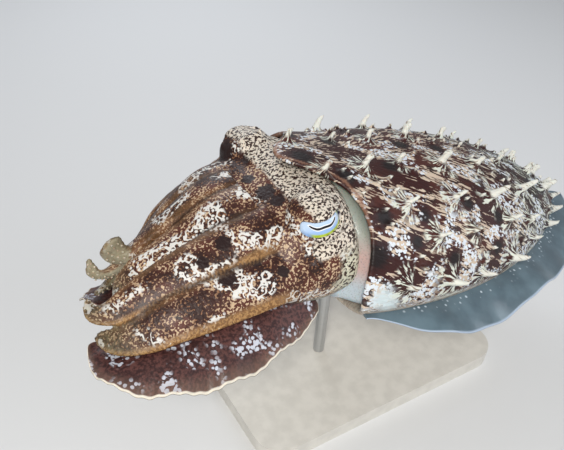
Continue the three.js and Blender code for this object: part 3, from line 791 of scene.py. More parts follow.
collar = new_piece("collar", facing_out(collar_shell()))
give(collar, high=ease((points_of(collar)[:, 2] + 34) / 80))


def funnel_shell(around=48):
    """A tapered tube whose wall turns in at the open end and runs back inside."""
    line = line_through(np.array(FUNNEL_LINE, float))
    outer = [(s, lerp(22, 11, s**0.8)) for s in np.linspace(0, 0.985, 26)]
    lip = [(1.0, 10.6), (1.003, 9.8), (0.99, 9.0)]
    inner = [(s, lerp(12, 8.5, s)) for s in np.linspace(0.97, 0.64, 12)]
    share, radius = np.array(outer + lip + inner).T
    middle = line(share)
    along = unit(line(np.minimum(share + 0.01, 1)) - line(np.minimum(share, 0.99) - 0.01))
    upward = unit(np.stack([along[:, 2], 0 * share, -along[:, 0]], -1))[:, None]
    angle = np.linspace(0, 2 * np.pi, around, endpoint=False)[None, :, None]
    wide = radius[:, None, None]
    rings = middle[:, None] + upward * wide * 0.72 * np.sin(angle)
    return closed_tube(rings + np.array([0, 1.0, 0]) * wide * np.cos(angle))


funnel = new_piece("funnel", facing_out(funnel_shell()))


def mouth_shell(around=96, along=40):
    """A cushion of lips: its radius falls with the root of 1 - s^3, seven folds pucker it by the
    cosine of seven times the angle, and the last tenth turns in to a pit."""
    angle = np.linspace(0, 2 * np.pi, around, endpoint=False)
    rings = []
    for share in np.linspace(0, 1, along):
        wide = 17 * np.sqrt(np.clip(1 - (share * 0.98) ** 3, 0, 1)) * (1 + 0.07 * np.cos(7 * angle) * share)
        dip = 5 * ease((share - 0.9) / 0.1)
        x = -56 + 10 - 22 * share + dip
        height = -12 + 0.85 * wide * np.sin(angle)
        rings.append(np.stack([np.full(around, x), wide * np.cos(angle), height], -1))
    return closed_tube(np.array(rings))


mouth = new_piece("mouth", facing_out(mouth_shell()))
for piece in (collar, funnel, mouth):
    print(piece.name, len(piece.data.polygons), "faces")

# %% [markdown]
# Suckers line the side of each arm that faces the mouth, in four rows that shrink
# to the tip. Each is a little cup: a short stalk, a swollen rim and a hollow. Instances
# on points would make copies of one mesh. Here one profile is turned round an axis at
# every place with one array sum, which keeps all the cups in one closed mesh.

# %% Suckers
# Radius and height of the cup's outline, as shares of its size, from stalk to hollow.
SUCKER_PROFILE = np.array(
    [[0.55, -0.6], [0.6, 0.1], [1.0, 0.45], [1.0, 0.85], [0.72, 0.95], [0.45, 0.55]]
)


def sucker_cups(number, side, per_row=16, around=10):
    """Cups in four staggered rows: each is the profile's radius times cos and sin round a point on
    the arm's inner face, and its size falls evenly from root to tip."""
    shells = []
    for row in range(4):
        k = np.arange(per_row)
        share = 0.28 + 0.7 * (k + 0.5 * (row % 2)) / per_row
        middle, along, outward, across, half, _, below = arm_frame(number, side, share)
        size = 1.55 * lerp(1.15, 0.45, share)
        foot = middle + across * ((row - 1.5) * 0.36 * half)[:, None]
        edge = 1 - ((row - 1.5) * 0.36) ** 2 * 0.5
        angle = np.linspace(0, 2 * np.pi, around, endpoint=False)
        for i in range(per_row):
            radius, height = SUCKER_PROFILE.T[:, :, None, None] * size[i]
            rings = (
                foot[i]
                - outward[i] * (below[i] * edge + height)
                + along[i] * radius * np.cos(angle)[None, :, None]
                + across[i] * radius * np.sin(angle)[None, :, None]
            )
            shells.append(closed_tube(rings))
    return shells


cups = [shell for side in SIDES.values() for number in range(4) for shell in sucker_cups(number, side)]
suckers = new_piece("suckers", merged(cups))
print("suckers:", len(cups))

# %% [markdown]
# The eyeball is a ball under a clear wet skin. A ready-made sphere would do for its
# shape. It is worked out in its own directions instead, so that the marks of the iris
# and the pupil can be drawn by how far a point lies forward and up from the middle.

# %% Eyeballs
eyeballs = {}
for name, side in SIDES.items():
    centre, outward, upward, forward = eye_frame(side)
    polar = np.linspace(0.01, np.pi - 0.01, 90)[:, None, None]
    turn = np.linspace(0, 2 * np.pi, 140, endpoint=False)[None, :, None]
    ball = outward * np.cos(polar) + np.sin(polar) * (forward * np.cos(turn) + upward * np.sin(turn))
    eyeballs[name] = new_piece(f"eye_{name}", facing_out(closed_tube(centre + EYE_RADIUS * ball)))
    local = points_of(eyeballs[name]) - centre
    give(eyeballs[name], eye=np.stack([local @ forward, local @ upward, local @ outward], -1))
print("eyeballs:", len(eyeballs["left"].data.polygons), "faces each")

# %% [markdown]
# The skin's marks follow the body: patches sit at certain places, flecks slant down the
# sides, and dashes run above the fin. They could be painted by hand on an unwrapped
# mesh. Here each is a number at every point, worked out from where that point lies, and
# the material turns the numbers into colour. These are the tools for it.

# %% Body map, noise and spots


def skin_map(points):
    """Unrolls the mantle: millimetres behind the nape, millimetres down either side from the ridge,
    and a third number that tells the left side's pattern from the right's. Also gives the height
    above the fins' line, and roughly how far a point stands above the plain skin."""
    x = np.clip(points[:, 0], 0, MANTLE_LENGTH - 2)
    rise = points[:, 2] - fin_line(x)
    tall = np.where(rise > 0, dome_height(x), belly_depth(x))
    y_share, z_share = points[:, 1] / mantle_half_width(x), rise / tall
    down = (np.pi / 2 - np.arctan2(z_share, y_share)) * (mantle_half_width(x) * 0.75 + 12)
    section = np.abs(y_share) ** (2 / SIDE_POWER) + np.abs(z_share) ** (2 / TOP_POWER)
    above = (section**0.45 - 1) * mantle_half_width(x)
    return np.stack([points[:, 0], np.abs(down), 25 * np.tanh(down / 14)], -1), rise, above


def waves(p, scale, seed):
    """Smooth noise without a grid: a sum of sine waves in seeded directions."""
    local = np.random.default_rng(seed)
    total = np.zeros(len(p))
    for _ in range(9):
        direction = unit(local.normal(size=3)) * 2 * np.pi / (scale * local.uniform(0.7, 1.5))
        total += np.sin(p @ direction + local.uniform(0, 6.28))
    return total / 3.0


def spots(p, places):
    """1 inside any of the named balls and 0 outside, eased over the ball's outer third."""
    mask = np.zeros(len(p))
    for x, y, z, radius in places:
        wobble = 1 + 0.16 * np.sin(p @ np.array([0.9, 0.7, 1.1]) + x)
        away = np.linalg.norm(p - np.array([x, y, z]), axis=1)
        mask = np.maximum(mask, ease(1.6 - away / (radius * wobble)))
    return mask


print("noise at the nape:", waves(np.zeros((1, 3)), 50, 5).round(2)[0])

# %% [markdown]
# White streaks fan forward from each papilla, dark patches lie between the rows, and a
# line of cream dashes runs above the fin. Every point finds its nearest papilla, and
# where two are equally near the streaks fade out, so that no edge shows between fans.

# %% Marks on the mantle
# Each: x, y and z of its middle and its radius, in mm from the nape.
DARK_PATCHES = [
    (20, -8, 56, 12), (42, -31, 46, 11), (123, 5, 30, 9), (156, -2, 21, 8), (90, -22, 35, 9),
    (54, -64, 28, 9), (39, -80, 11, 13), (90, -66, 19, 7), (107, -88, -12, 8), (60, 16, 43, 8),
    (75, -79, 9, 7), (138, -61, 11, 8), (167, -70, -6, 8), (159, -84, -24, 8), (30, 30, 48, 9),
    (48, 62, 28, 10), (95, 40, 34, 9), (130, 66, 8, 9), (185, 40, 8, 9), (230, -30, -6, 9),
    (240, 20, -12, 9), (80, 84, -4, 9), (44, 84, 0, 10),
]
p = points_of(mantle_skin)
flat, rise, above = skin_map(p)
flat_feet = skin_map(papilla_feet)[0]
nearest, next_nearest = np.full(len(p), 1e9), np.full(len(p), 1e9)
fan = np.zeros((len(p), 3))
for k, (foot, flat_foot, size) in enumerate(zip(papilla_feet, flat_feet, papilla_sizes)):
    lean = np.array([0.9 * size, 0, 0])
    away = np.linalg.norm(p - (foot + lean), axis=1) / size
    closer = away < nearest
    next_nearest = np.where(closer, nearest, np.minimum(next_nearest, away))
    nearest[closer] = away[closer]
    fan[closer, :2] = (flat - flat_foot - lean)[closer, :2]
    fan[closer, 2] = size
turn = np.abs(np.arctan2(fan[:, 1], -fan[:, 0]))
feather = ease((4.2 - nearest) / 2.6) * ease((next_nearest - nearest) / 0.7) * ease((2.2 - turn) / 1.2)
horn = ease((above - 2.2) / 1.9) * (p[:, 0] > 12)
on_back = ease(rise / 10 + 0.9)
around = np.arctan2(rise, p[:, 1])
rim_line = ease(1.7 - np.abs(p[:, 0] - rim_place(around) - 0.6) / 1.1)
rim_line = rim_line * ease((np.sin(around) - 0.5) / 0.3)
dashes = ease(1.6 - np.abs(rise + 5.5) / 1.3) * ease(np.cos(p[:, 0] * 0.75) * 3 + 0.8) * (p[:, 0] > 50)
blotch = spots(p, [(42, -84, -22, 9), (48, -86, -30, 8), (42, 84, -22, 9)])
patch = np.maximum(ease(waves(flat, 50, 5) * 1.3 - 0.35), spots(p, DARK_PATCHES))
rear = ease((flat[:, 0] - 150) / 120)
down_side = ease((flat[:, 1] - 45) / 45)
lace = waves(flat * np.array([1, 1.5, 1]), 26, 12)
core = spots(p, [(x, y, z, 0.62 * radius) for x, y, z, radius in DARK_PATCHES])
give(
    mantle_skin, flat=flat, fan=fan, horn=horn, patch=patch, core=core, lace=lace, back=on_back, rear=rear,
    down=down_side, rim=rim_line, feather=feather, dash=dashes, blotch=blotch,
)
print("share of the mantle in dark patches:", round(float(patch.mean()), 2))

# %% [markdown]
# The head is cream with fine dark speckle between and behind the eyes. The face and
# arms are red-brown with cream dots, lacy white blotches and round dark spots, and
# tan lines run along the arms' edges to their olive tips. After the remesh nothing says
# which arm a point belongs to, so each point is measured against every arm's line: its
# share along the arm, and its place across and out of it, in units of the arm's size.

# %% Marks on the head and arms
FACE_SPOTS = [
    (-12, -14, 39, 6.5), (-10, -26, 39, 5), (-15, 6, 39, 4.5), (-58, -40, 30, 5), (-64, -57, 16, 5.5),
    (-42, -54, 21, 5), (-72, -76, -3, 5), (-75, -45, 24, 4), (-13, 47, 38, 8), (-27, -65, 13, 4),
    (-40, -26, 34, 4), (-3, 26, 42, 5), (-56, 44, 26, 6), (-20, 62, 16, 6), (-80, 40, 10, 5),
    (-100, -62, 2, 4.5), (-30, -74, -14, 5),
]
CHUNK = 20000
EDGE_STRENGTH = np.array([0.45, 1.0, 1.0, 0.5])
p = points_of(head_skin)
share_steps = np.linspace(0, 1, 60)
limbs = [(number, side) for side in SIDES.values() for number in range(4)]
measures = np.full((len(limbs), len(p)), 1e9)
places = np.zeros((len(limbs), len(p), 3))
for n, (number, side) in enumerate(limbs):
    middle, along, outward, across, half, over, below = arm_frame(number, side, share_steps)
    for i in range(0, len(p), CHUNK):
        part = slice(i, i + CHUNK)
        d = p[part, None] - middle[None]
        a = np.einsum("pij,ij->pi", d, across) / (half + 0.5)
        b = np.einsum("pij,ij->pi", d, outward) / (over + 0.5)
        c = np.einsum("pij,ij->pi", d, along) / 3.0
        far = a**2 + b**2 + c**2
        k = np.argmin(far, 1)
        rows = np.arange(len(k))
        measures[n, part] = far[rows, k]
        places[n, part] = np.stack([share_steps[k], a[rows, k], b[rows, k]], -1)
order = np.argsort(measures, 0)
columns = np.arange(len(p))
best, second = measures[order[0], columns], measures[order[1], columns]
arm_share, arm_side, arm_depth = places[order[0], columns].T
arm_number, body_side = np.array(limbs)[order[0]].T
ridge = np.where(arm_side * body_side > 0, EDGE_STRENGTH[arm_number], 0.3)
on_arm = ease((-16 - p[:, 0]) / 26) * (best < 6)
near_edge = ease(1.35 - np.abs(np.abs(arm_side) - 0.86) / 0.24)
edge_line = ridge * on_arm * near_edge * ease(arm_depth * 2 + 1.2)
# Painted shade: the crease where two arms lie side by side is darkened on its upper side, where shade falls.
groove = on_arm * ease(1.2 - (second - best) / 0.3) * (second < 2.2) * ease(arm_depth * 2 + 1)
oral = on_arm * ease(-arm_depth * 3 - 0.2)
tip = on_arm * ease((arm_share - 0.72) / 0.25)
middle_strip = on_arm * ease(1.3 - np.abs(arm_side) / 0.55)
crown = ease((p[:, 0] + 12) / 14) * ease((p[:, 2] - 6) / 16)
rear_cheek = ease((p[:, 0] - 7 + 4 * waves(p, 14, 3)) / 14)
under = ease((-14 - p[:, 2]) / 14) * ease((p[:, 0] + 60) / 30)
give(
    head_skin, edge=edge_line, groove=groove, oral=oral, tip=tip, middle=middle_strip, crown=crown,
    under=under, cheek=rear_cheek, spot=spots(p, FACE_SPOTS), lace=waves(p, 22, 21),
)

for keel in keels.values():
    q = points_of(keel)
    give(keel, lace=waves(q, 22, 31))
print("share of the head's skin that is arm:", round(float(on_arm.mean()), 2))

# %% [markdown]
# A finish is a network of nodes: textures and point values make masks, masks choose
# between colours, and the shader turns the result into light. It could be drawn by hand
# in the Shader Editor. It is written out here, so that every number can be read. Colours
# are sRGB hex codes, as a paint program shows them, and one function turns them to
# linear light. One more function adds any node with its settings and links.

# %% Colour and node helpers


def colour(code):
    """sRGB hex to linear: c/12.92 below 0.04045, else ((c + 0.055)/1.055)^2.4."""
    c = np.array([int(code[i : i + 2], 16) for i in (0, 2, 4)]) / 255.0
    return (*np.where(c <= 0.04045, c / 12.92, ((c + 0.055) / 1.055) ** 2.4), 1.0)


MODES = {
    "Math": "operation", "VectorMath": "operation", "Mix": "data_type", "MapRange": "interpolation_type",
    "Mapping": "vector_type", "Attribute": "attribute_name",
}
MIX, STEP, LARGER = "Mix RGBA", "MapRange SMOOTHSTEP", "Math MAXIMUM"
PLUS, MINUS, TIMES = "Math ADD", "Math SUBTRACT", "Math MULTIPLY"


def add(kind, *values, inputs=None, out=0):
    """Adds one node to the tree of the material being made, and returns one of its outputs. A second
    word in kind sets its mode. The values fill its open sockets in order, and inputs fills them by
    name: an output is linked, a hex code is a colour, and anything else is set."""
    kind, _, mode = kind.partition(" ")
    node = tree.nodes.new("ShaderNode" + kind)
    if mode:
        setattr(node, MODES[kind], mode)
    sockets = [socket for socket in node.inputs if socket.enabled]
    named = [(node.inputs[name], value) for name, value in (inputs or {}).items()]
    for socket, value in [*zip(sockets, values), *named]:
        if isinstance(value, bpy.types.NodeSocket):
            tree.links.new(value, socket)
        else:
            socket.default_value = colour(value) if isinstance(value, str) else value
    outputs = {socket.name: socket for socket in node.outputs if socket.enabled}
    return outputs[out] if out else next(iter(outputs.values()))


def new_material(name, settings):
    """A material, its tree and its shader. What is the same all over goes on the shader's own sockets."""
    material = bpy.data.materials.new(name)
    material.use_nodes = True
    tree = material.node_tree
    shader = tree.nodes["Principled BSDF"]
    for socket, value in settings.items():
        shader.inputs[socket].default_value = value
    return material, tree, shader


def surface(base, height=None, strength=0.5, distance=0.0012):
    """Links the colour to the shader, and where a height is given, its slopes tilt the light by up to
    distance metres of relief, times strength."""
    tree.links.new(base, shader.inputs["Base Color"])
    if height:
        bump = add("Bump", inputs={"Height": height, "Strength": strength, "Distance": distance})
        tree.links.new(bump, shader.inputs["Normal"])
    print("finish:", len(tree.nodes), "nodes")


def wandering(place, amount, scale):
    """The place moved about by noise, so that round dots and straight edges turn irregular."""
    drift = add("TexNoise", place, scale, 1.0, out="Color")
    drift = add("VectorMath SUBTRACT", drift, (0.5, 0.5, 0.5))
    return add("VectorMath ADD", place, add("VectorMath SCALE", drift, amount))


print("mid grey in linear light:", round(float(colour("808080")[0]), 3))

# %% [markdown]
# The mantle's skin is moist and soft, over a net of pigment cells that open and close.
# It is dark red-brown with cream flecks that slant down the sides, bluish white beads in
# patches, and white streaks that fan out from each papilla. A photograph wrapped round
# the body would show its own light. Noise in the unrolled map gives flecks of the real
# size that follow the body, and layers are laid over one another as paint is.

# %% Mantle skin material
# Wet living skin: light goes 1 to 2 mm in and comes back warm and soft, and the film of
# water on it gives small sharp lights. Real skin has a roughness near 0.5.
MOIST = {
    "Roughness": 0.5, "Subsurface Weight": 0.1, "Subsurface Radius": (0.9, 0.5, 0.35),
    "Subsurface Scale": 0.002, "Specular IOR Level": 0.35, "Coat Weight": 0.06, "Coat Roughness": 0.25,
}
mantle_finish, tree, shader = new_material("mantle_skin_moist_flesh", MOIST)
place, fan = (add(f"Attribute {name}", out="Vector") for name in ("flat", "fan"))
patch, core, horn, lace, down, rear, back_mask, fan_area, rim, blotch, dash = (
    add(f"Attribute {name}", out="Fac")
    for name in "patch core horn lace down rear back feather rim blotch dash".split()
)
# Real colour cells are under 1 mm, too fine to show, so they are drawn as coarser flecks. The map
# is in millimetres: a scale of 0.62 makes them 1.6 mm, and 0.38 makes them 2.6 mm.
slanted = add("Mapping TEXTURE", inputs={"Vector": place, "Rotation": (0, 0, 0.5), "Scale": (4.0, 1.0, 1.0)})
fine, flecks = add("TexNoise", slanted, 0.62, 2.0), add("TexNoise", slanted, 0.38, 2.5, 0.6)
cloud = add("TexNoise", place, 0.07, 3.0)

ground = add(MIX, add(STEP, cloud, 0.35, 0.65), "4A2119", "2B110E")
for mask, paint in [
    (add(TIMES, rear, 0.8), "171114"), (add(STEP, patch, 0.2, 0.8), "35120F"), (core, "160A0A"),
]:
    ground = add(MIX, mask, ground, paint)
level = flecks
for mask, weight in [
    (lace, 0.03), (patch, -0.1), (core, -0.15), (add(MINUS, cloud, 0.5), 0.22), (rear, -0.035),
]:
    level = add(PLUS, level, add(TIMES, mask, weight))
cream = add(MIX, rear, "CBB9A6", "C4CABB")

# White beads stand 3.3 mm apart, and run together into blobs where they cluster.
cluster = add(PLUS, add(PLUS, lace, add(TIMES, down, 0.7)), add(TIMES, patch, -1.4))
beads = add(STEP, add("TexVoronoi", wandering(place, 1.6, 0.3), 0.3), 0.42, 0.3)
blobs = add(STEP, add("TexNoise", place, 0.34, 1.5, 0.4), 0.545, 0.57)
beads = add(TIMES, beads, add(STEP, cluster, -0.3, 0.2))
white = add(LARGER, beads, add(TIMES, blobs, add(STEP, cluster, 0.2, 0.6)))

# Streaks: noise that changes fast with the angle round the foot and slowly outwards.
fan_x, fan_y, foot_size = add("SeparateXYZ", fan).node.outputs
turn = add("Math ARCTAN2", fan_y, add(TIMES, fan_x, -1.0))
reach = add("VectorMath LENGTH", add("CombineXYZ", fan_x, fan_y))
spokes = add("CombineXYZ", add(TIMES, turn, 5.0), add(TIMES, reach, 0.1), foot_size)
spokes = add("TexNoise", spokes, 1.0, 2.0, 0.6)
gap = add(TIMES, add(STEP, spokes, 0.53, 0.46), fan_area)
streak = add(TIMES, add(STEP, spokes, 0.52, 0.56), add(STEP, fan_area, 0.15, 0.65))
streak = add(TIMES, streak, add(MINUS, 1.0, core))
horn_colour = add(MIX, add(STEP, fine, 0.56, 0.64), "DFDFD6", "8F8272")
belly = add(MIX, add(STEP, fine, 0.45, 0.6), "B8AD9E", "9A8C80")

base = ground
for mask, paint in [
    (add(STEP, level, 0.5, 0.535), cream), (white, "D9E0E8"), (gap, ground), (streak, "D8DCD0"),
    (horn, horn_colour), (add(TIMES, rim, 0.85), "8A6450"), (blotch, "C9D6DA"),
    (add(TIMES, dash, 0.9), "D5D8C4"), (add(MINUS, 1.0, back_mask), belly),
]:
    base = add(MIX, mask, base, paint)
surface(base, add(PLUS, fine, add(TIMES, add(PLUS, flecks, streak), 0.8)))

# %% [markdown]
# The face is the same skin, in red-brown with fine cream dots, lacy white curls and dark
# spots. The crown and the back of the cheek are cream with dark speckle. The arms have
# tan lines along their edges and olive tips. Curls could be drawn as lines, but a noise
# is even simpler: where it passes one value, it traces closed loops on its own.

# %% Head and arm skin material
# The same wet skin, with a denser net of colour cells, so it looks velvety up close.
head_finish, tree, shader = new_material("head_skin_moist_flesh", MOIST)
place = add("TexCoord", out="Object")
lace, crown, spot, middle, cheek, edge, groove, tip, oral, under = (
    add(f"Attribute {name}", out="Fac")
    for name in "lace crown spot middle cheek edge groove tip oral under".split()
)
# Object coordinates are in metres: 640 makes dots of 1.6 mm, coarser than the real ones so that
# they show, 420 makes dots of 2.4 mm, and 180 makes curls of 5.6 mm.
fine, very_fine = add("TexNoise", place, 420.0), add("TexNoise", place, 640.0, 1.0)
cloud = add("TexNoise", place, 60.0, 3.0)
level = add(PLUS, very_fine, add(TIMES, lace, 0.02))
level = add(MINUS, level, add(TIMES, add(STEP, cloud, 0.42, 0.62), 0.07))

cluster = add(PLUS, add(PLUS, lace, add(TIMES, middle, 0.4)), add(TIMES, cloud, 0.8))
curls = add("TexNoise", wandering(place, 0.002, 300.0), 180.0, 1.0, 0.4)
curls = add(STEP, add("Math ABSOLUTE", add(MINUS, curls, 0.54)), 0.058, 0.042)
beads = add(STEP, add("TexVoronoi", wandering(place, 0.0012, 300.0), 330.0), 0.4, 0.3)
curls = add(TIMES, curls, add(STEP, cluster, 0.95, 1.2))
white = add(LARGER, curls, add(TIMES, beads, add(STEP, cluster, 0.75, 1.15)))

speckle = add(MIX, add(STEP, cloud, 0.4, 0.6), "C2A88A", "80583C")
pale = add(MIX, add(STEP, add("TexNoise", place, 540.0, 2.5), 0.49, 0.54), "D8CEC0", "33201A")
cream = add(MIX, add(STEP, fine, 0.42, 0.5), "2E1A14", "D6D3BE")
tan = add(MIX, add(STEP, very_fine, 0.4, 0.6), "A37D50", "76532F")
olive = add(MIX, add(STEP, fine, 0.4, 0.6), "7F7A5C", "57503A")
inner = add(MIX, add(STEP, cloud, 0.3, 0.7), "A39C86", "8A8068")
base = add(MIX, add(STEP, cloud, 0.38, 0.6), "54291D", "2C130D")
for mask, paint in [
    (add(STEP, level, 0.52, 0.58), speckle),
    (white, "DAD8D4"),
    (add(STEP, spot, 0.3, 0.7), "210D0B"),
    (add(STEP, add(PLUS, crown, add(TIMES, cloud, 0.6)), 0.75, 1.05), pale),
    (add(TIMES, cheek, add(MINUS, 1.0, crown)), cream),
    (add(TIMES, edge, add(STEP, very_fine, 0.18, 0.36)), tan),
    # Painted shade: the creases between the arms, in a near-black brown.
    (add(TIMES, groove, 0.8), "24120D"),
    (add(TIMES, tip, 0.5), olive),
    (oral, inner),
    (under, "A8B0A6"),
]:
    base = add(MIX, mask, base, paint)
surface(base, add(PLUS, fine, add(TIMES, white, 0.6)))

# %% [markdown]
# The keel is thinner skin, plum brown with bluish white beads in clouds and a pale hem.
# The hem could be a strip of its own, but then its joint would show. The point value
# from 0 at the root to 1 at the edge places it exactly, however the edge ripples.

# %% Keel material
# Thin moist flesh: as wet as the arms, with a shallower grain, so its lights are longer. Its dots
# are 1.9 mm (520 to the metre), and its white beads stand 3.3 mm apart (300).
keel_finish, tree, shader = new_material("keel_skin_thin_flesh", MOIST)
place = add("TexCoord", out="Object")
out, lace, face = (add(f"Attribute {name}", out="Fac") for name in ("out", "lace", "face"))
fine, cloud = add("TexNoise", place, 520.0), add("TexNoise", place, 55.0, 3.0)
cluster = add(PLUS, lace, add(TIMES, cloud, 0.8))
beads = add(STEP, add("TexVoronoi", wandering(place, 0.0012, 300.0), 300.0), 0.46, 0.34)
blobs = add(STEP, add("TexNoise", wandering(place, 0.002, 300.0), 300.0, 1.5, 0.4), 0.53, 0.56)
beads = add(TIMES, beads, add(STEP, cluster, 0.35, 0.95))
white = add(LARGER, beads, add(TIMES, blobs, add(STEP, cluster, 0.9, 1.3)))
base = add(MIX, add(STEP, fine, 0.38, 0.64), "351D1D", "5D3A36")
for mask, paint in [
    (add(TIMES, add(STEP, cloud, 0.45, 0.7), 0.5), "2A1616"),
    (white, "C3C7D3"),
    (add(TIMES, add(STEP, out, 0.72, 0.98), 0.35), "8C7364"),
    (add(STEP, out, 0.962, 0.985), "DDD6C8"),
    (add(STEP, out, 0.14, 0.04), "7F5C39"),
    (add(STEP, face, 0.0, -0.5), "8C847C"),
]:
    base = add(MIX, mask, base, paint)
surface(base, add(PLUS, fine, add(TIMES, white, 0.6)), 0.35, 0.001)

# %% [markdown]
# The fin is a clear blue-grey film, a millimetre or two thick, with a row of white dots
# near its root and a bright rim. Real glass-like depth would need light traced through
# two faces. A part-clear finish shows what lies behind it at no cost.

# %% Fin material
# Thin wet flesh, smoother than the back, so its waves carry broad clean lights. The dots stand
# 4.8 mm apart (210 to the metre).
CLEAR = {"Roughness": 0.3, "Alpha": 0.82, "Coat Weight": 0.3, "Coat Roughness": 0.12}
fin_finish, tree, shader = new_material("fin_thin_clear_flesh", CLEAR)
place = add("TexCoord", out="Object")
out, cloud = add("Attribute out", out="Fac"), add("TexNoise", place, 40.0, 3.0)
dots = add("TexVoronoi", place, 210.0, inputs={"Randomness": 0.5})
near_root = add(TIMES, add(STEP, out, 0.55, 0.28), add(STEP, out, 0.16, 0.26))
base = add(MIX, add(STEP, cloud, 0.3, 0.7), "687F8B", "4C606C")
base = add(MIX, add(TIMES, near_root, add(STEP, dots, 0.3, 0.12)), base, "D5E2EE")
surface(add(MIX, add(STEP, out, 0.95, 1.0), base, "B9CBE2"))

# %% [markdown]
# Skin that is always folded away has few colour cells: the collar is smooth, from pale
# blue below through rose to grey-green on top, and the funnel, lips and suckers are the
# cream of the flesh itself. Little noise is enough, as the light does most of the work.

# %% Collar and pale flesh materials
# Smooth clear skin, thicker than a film: it glows a little where light goes in. Its few freckles
# are about 1 mm (900 to the metre).
SMOOTH = {"Roughness": 0.5, "Subsurface Weight": 0.2, "Subsurface Scale": 0.003, "Coat Weight": 0.1}
collar_finish, tree, shader = new_material("collar_smooth_clear_skin", SMOOTH)
high, freckle = add("Attribute high", out="Fac"), add("TexNoise", add("TexCoord", out="Object"), 900.0, 2.0)
base = add(MIX, add(STEP, high, 0.05, 0.35), "B4C0C8", "BB9F9A")
base = add(MIX, add(STEP, high, 0.45, 0.8), base, "8E958C")
surface(add(MIX, add(TIMES, add(STEP, freckle, 0.52, 0.66), 0.35), base, "6E6A66"))

# Bare muscle under a wet film: soft and waxy, in clouds of 4 mm (260 to the metre).
BARE = {"Roughness": 0.4, "Subsurface Weight": 0.15, "Subsurface Scale": 0.002}
pale_finish, tree, shader = new_material("pale_moist_flesh", BARE)
fine = add("TexNoise", inputs={"Vector": add("TexCoord", out="Object"), "Scale": 260.0, "Detail": 3.0})
surface(add(MIX, add(STEP, fine, 0.35, 0.7), "CDC3B0", "A08D78"))

# %% [markdown]
# The eye shows a pale blue iris with a lime lower rim and a pupil like a wavy line. It
# could be an image. It is drawn by place instead: a is millimetres forward and b is
# millimetres up, and the pupil is every point close to the curve
# b = 0.045 a^2 - 5.6 + 0.5 cos(0.55 a), which makes the bow with its double wave.

# %% Eye material
# A wet cornea: nearly mirror smooth, so it carries one small bright light.
WET = {"Roughness": 0.12, "Coat Weight": 1.0, "Coat Roughness": 0.03}
eye_finish, tree, shader = new_material("eye_wet_cornea", WET)
a, b, _ = add("SeparateXYZ", add("Attribute eye", out="Vector")).node.outputs
a_squared, below = add(TIMES, a, a), add(PLUS, b, 1.5)
wave = add(TIMES, add("Math COSINE", add(TIMES, a, 0.55)), 0.5)
curve = add(PLUS, add(MINUS, add(TIMES, a_squared, 0.045), 5.6), wave)
beyond_end = add(LARGER, add(MINUS, add("Math ABSOLUTE", a), 9.0), 0.0)
off_curve = add(PLUS, add("Math ABSOLUTE", add(MINUS, b, curve)), beyond_end)
# The rim lies where (a/15)^2 + ((b + 1.5)/9.5)^2, the opening's ellipse, nears 1.
near_edge = add(PLUS, add(TIMES, add(TIMES, below, below), 0.01108), add(TIMES, a_squared, 0.00444))
base = add(MIX, add(STEP, b, -8.0, -1.0), "8FB4E6", "BFD6F2")
for mask, paint in [
    (add(TIMES, add(STEP, near_edge, 0.62, 0.8), add(STEP, a, 11.0, 7.0)), "B4CB3C"),
    (add(STEP, a, -11.5, -14.0), "1F3E8C"),
    (add(STEP, off_curve, 1.7, 1.2), "F4F6FA"),
    (add(STEP, off_curve, 0.95, 0.7), "08080A"),
]:
    base = add(MIX, mask, base, paint)
surface(base)
print("materials:", len(bpy.data.materials))

# %% [markdown]
# The stand is plain, so that the animal is what is looked at: a base of painted wood and
# two slim rods of brushed steel. Their solids are right as they are, and only get a
# finish, in the slots of their own objects.

# %% Stand
# Satin paint on sanded wood: an even pale sheen, with brush texture of about a centimetre.
base_finish, tree, shader = new_material("painted_wood_satin", {"Roughness": 0.45})
grain = add("TexNoise", inputs={"Vector": add("TexCoord", out="Object"), "Scale": 90.0, "Detail": 4.0})
surface(add(MIX, add(STEP, grain, 0.3, 0.7), "D6D3CC", "CBC8C1"), grain, 0.12, 0.0004)

# Brushed steel: rings 0.3 mm apart, from turning on a lathe, that blur reflections along it.
rod_finish, tree, shader = new_material("brushed_steel", {"Metallic": 1.0})
brush = add("Mapping", inputs={"Vector": add("TexCoord", out="Object"), "Scale": (60.0, 60.0, 3000.0)})
rings = add("TexNoise", inputs={"Vector": brush, "Scale": 1.0, "Detail": 2.0})
tree.links.new(add(STEP, rings, -1.2, 3.0), shader.inputs["Roughness"])
surface(add(MIX, rings, "B4B7BA", "CDCFD1"))

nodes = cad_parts
for name, node in nodes.items():
    if name.startswith("stand_"):
        node.data.materials.clear()
        node.data.materials.append(base_finish if name == "stand_base" else rod_finish)
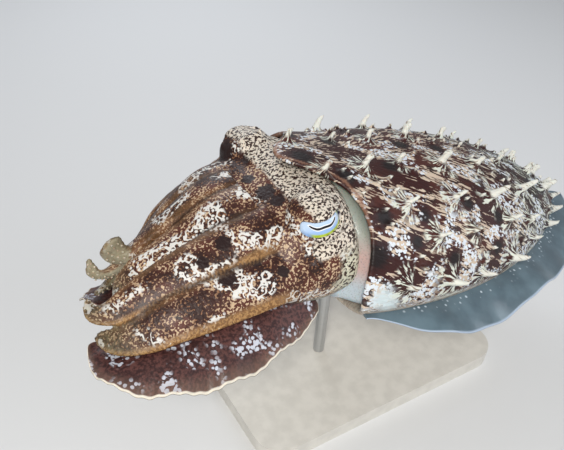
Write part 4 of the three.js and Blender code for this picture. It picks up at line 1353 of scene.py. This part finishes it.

# %% [markdown]
# Every piece now gets its finish and rides on the one body of this still model, and the solids it stands for
# are hidden. A table with a loop keeps that in one place, where a piece that was forgotten would be seen at
# once.

# %% Finish, ride and replace
arm_nodes = [name for name in nodes if name.startswith("arm_")]
dress = [
    (mantle_skin, mantle_finish, "skin", ["mantle"]),
    (head_skin, head_finish, "skin", ["head", *arm_nodes]),
    (suckers, pale_finish, "skin", []),
    (collar, collar_finish, "collar", ["neck"]),
    (funnel, pale_finish, "pale_flesh", ["funnel"]),
    (mouth, pale_finish, "pale_flesh", ["mouth"]),
]
for name in SIDES:
    dress.append((fins[name], fin_finish, "fin", [f"fin_{name}_front", f"fin_{name}_rear"]))
    dress.append((keels[name], keel_finish, "skin", [f"keel_{name}_front", f"keel_{name}_rear"]))
    dress.append((eyeballs[name], eye_finish, "eye", [f"eye_{name}"]))
for piece, finish, slot, replaced in dress:
    piece.data.materials.clear()
    piece.data.materials.append(finish)
    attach(piece, "root")
    if replaced:
        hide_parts(*replaced)
print("pieces:", len(dress))

# %% [markdown]
# A pale floor and three soft lights, as in a small studio: a large key from the upper
# front, a fill from the other side and a weak light from behind. A sky picture could
# light it too, but discs of light give the same soft look with nothing to load.

# %% Floor and lights
FLOOR_REACH = 4
AIM = Vector((0.0, 0, 0.18))
corners = [(x * FLOOR_REACH, y * FLOOR_REACH, 0) for x, y in ((-1, -1), (1, -1), (1, 1), (-1, 1))]
floor_mesh = bpy.data.meshes.new("floor")
floor_mesh.from_pydata(corners, [], [(0, 1, 2, 3)])
floor = bpy.data.objects.new("floor", floor_mesh)
bpy.context.scene.collection.objects.link(floor)
# Matt paper: no gloss, so only the soft shadow shows where the stand is.
matt = {"Base Color": colour("D9DADB"), "Roughness": 0.8}
floor_mesh.materials.append(new_material("plain_pale_floor", matt)[0])

world = bpy.data.worlds.new("studio")
world.use_nodes = True
for socket, value in {"Color": colour("E4E8EC"), "Strength": 0.38}.items():
    world.node_tree.nodes["Background"].inputs[socket].default_value = value
bpy.context.scene.world = world


def soft_light(name, place, size, power, tint):
    """A disc of light, size metres across, turned so that its face looks at the animal's middle."""
    light = bpy.data.lights.new(name, "AREA")
    light.shape, light.size, light.energy, light.color = "DISK", size, power, colour(tint)[:3]
    lamp = bpy.data.objects.new(name, light)
    lamp.location = place
    lamp.rotation_euler = (AIM - Vector(place)).to_track_quat("-Z", "Y").to_euler()
    bpy.context.scene.collection.objects.link(lamp)


soft_light("key", (-0.75, -0.9, 1.15), 0.45, 20.0, "FFFBF4")
soft_light("fill", (0.9, -0.7, 0.7), 0.8, 4.0, "F2F6FF")
soft_light("behind", (0.3, 1.1, 0.9), 0.7, 6.0, "F4F8FF")
bpy.context.scene.view_settings.view_transform = "Standard"
print("lights:", len(bpy.data.lights))
